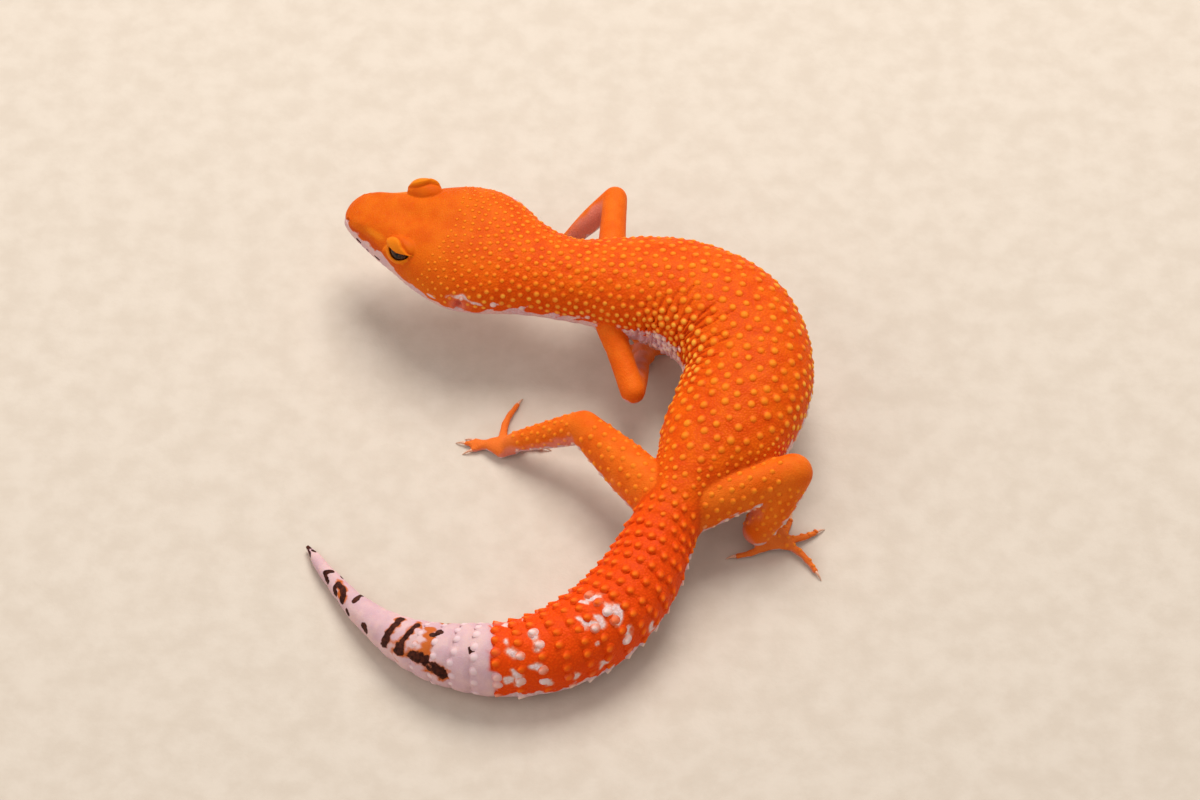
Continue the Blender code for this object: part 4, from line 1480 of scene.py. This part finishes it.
def add_coat(skin, fields):
    """The raised scales of the head and trunk, of the tail and of the hind legs."""
    material = coat_material()
    facts = skin.facts
    _, back, _, _ = spine_frames(facts["station"])
    rng = np.random.default_rng(SEED + 3)
    spots = np.stack([facts["station"] / 1000.0, facts["turn"] * UV_GIRTH / 1000.0], -1) * UV_SPREAD

    def add(name, *shape_and_place):
        add_scales(name, skin, fields, material, *shape_and_place)

    chosen = body_places(skin)
    _, radius = body_scale_sizes(facts["station"], facts["turn"], facts["from_limb"])
    radius = radius[chosen] * rng.uniform(0.88, 1.12, len(chosen))
    on_head = facts["station"][chosen] < HEAD_END
    for name, part in (("scales_head", on_head), ("scales_trunk", ~on_head)):
        those, size = chosen[part], radius[part]
        sharp = np.full(len(those), 0.1)
        add(name, those, back[those], size, size * 0.5, sharp, spots[those], BODY_CURVE)

    chosen = tail_places(skin)
    pale = fields["pale"][chosen]
    radius = np.interp(facts["station"][chosen], *TAIL_SCALE_RADII)
    height, sharp = radius * (0.72 - 0.42 * pale), 0.75 - 0.6 * pale
    add("scales_tail", chosen, back[chosen], radius, height, sharp, spots[chosen], TAIL_CURVE)

    legs = [limb_places(skin, number, LEGS[leg]) for number, leg in ((3, "hind_left"), (4, "hind_right"))]
    chosen, lean, pitch = (np.concatenate(rows) for rows in zip(*legs))
    on_thigh = pitch == THIGH_PITCH
    radius = np.where(on_thigh, THIGH_SCALE_RADIUS, SHIN_SCALE_RADIUS) * rng.uniform(0.88, 1.12, len(chosen))
    spots = skin.points[chosen][:, :2] * LEG_UV_SPREAD + np.array(LEG_UV_CORNER)
    spots += facts["kind"][chosen][:, None] * np.array(LEG_UV_STEP)
    sharp = np.full(len(chosen), 0.2)
    add("scales_limbs", chosen, lean, radius, radius * 0.6, sharp, spots, LEG_CURVE)


def add_eyes():
    material = eye_material()
    for way, name in ((1.0, "eye_left"), (-1.0, "eye_right")):
        shape = eye_shape(way)
        made = add_piece(f"{name}_ball", shape, shape.facts, material)
        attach(made, "root")
        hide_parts(name)


def add_claws():
    material = claw_material()
    for leg, plan in LEGS.items():
        palm = np.array((*plan["palm"], PALM_HEIGHT))
        claws = [claw_shape(palm, plan["heading"], turn, reach) for turn, reach in plan["toes"]]
        shape = joined(claws)
        from_palm = np.linalg.norm(shape.points - palm, axis=1).reshape(len(claws), -1)
        tip = (from_palm - from_palm.min(1, keepdims=True)) / np.ptp(from_palm, axis=1, keepdims=True)
        made = add_piece(f"claws_{leg}", shape, {"tip": tip.ravel()}, material)
        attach(made, "root")
        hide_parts(*[f"{leg}_claw_{number}" for number in range(1, len(claws) + 1)])


def add_floor():
    far = FLOOR_REACH
    corners = [(-far, -far, 0.0), (far, -far, 0.0), (far, far, 0.0), (-far, far, 0.0)]
    floor = to_object("floor", Shape(corners, [(0, 1, 2, 3)]))
    floor.data.materials.append(floor_material())


def add_light(name, place, power, tint):
    lamp = bpy.data.lights.new(name, "AREA")
    lamp.shape = "DISK"
    lamp.size = LAMP_SIZE
    lamp.energy = power
    lamp.color = tint
    made = bpy.data.objects.new(name, lamp)
    bpy.context.scene.collection.objects.link(made)
    made.location = place
    direction = Vector(MIDDLE) - made.location
    made.rotation_euler = direction.to_track_quat("-Z", "Y").to_euler()


def add_camera():
    lens = bpy.data.cameras.new("camera")
    lens.lens = CAMERA_LENS
    camera = bpy.data.objects.new("camera", lens)
    bpy.context.scene.collection.objects.link(camera)
    rise = math.radians(CAMERA_RISE)
    away = Vector((0.0, -math.cos(rise), math.sin(rise)))
    camera.location = Vector(CAMERA_TARGET) + away * CAMERA_DISTANCE
    camera.rotation_euler = (math.radians(90.0 - CAMERA_RISE), 0.0, 0.0)
    bpy.context.scene.camera = camera


def add_surroundings():
    """The floor, the camera and soft light that comes mostly from above and behind."""
    scene = bpy.context.scene
    scene.view_settings.view_transform = "Standard"
    add_floor()
    world = bpy.data.worlds.new("studio")
    world.use_nodes = True
    background = world.node_tree.nodes["Background"]
    background.inputs["Color"].default_value = SKY_TINT
    background.inputs["Strength"].default_value = SKY_STRENGTH
    scene.world = world
    for name, place, power, tint in LAMPS:
        add_light(name, place, power, tint)
    add_camera()


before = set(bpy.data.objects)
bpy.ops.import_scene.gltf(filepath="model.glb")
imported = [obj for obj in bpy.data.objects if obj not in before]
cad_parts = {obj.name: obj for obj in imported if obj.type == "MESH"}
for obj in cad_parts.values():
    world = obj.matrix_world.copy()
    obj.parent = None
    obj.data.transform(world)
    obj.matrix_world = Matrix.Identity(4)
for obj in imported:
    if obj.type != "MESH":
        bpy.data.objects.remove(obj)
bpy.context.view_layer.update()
skin = skin_shape()
fields = skin_fields(skin)
add_skin(skin, fields)
add_coat(skin, fields)
add_eyes()
add_claws()
add_surroundings()
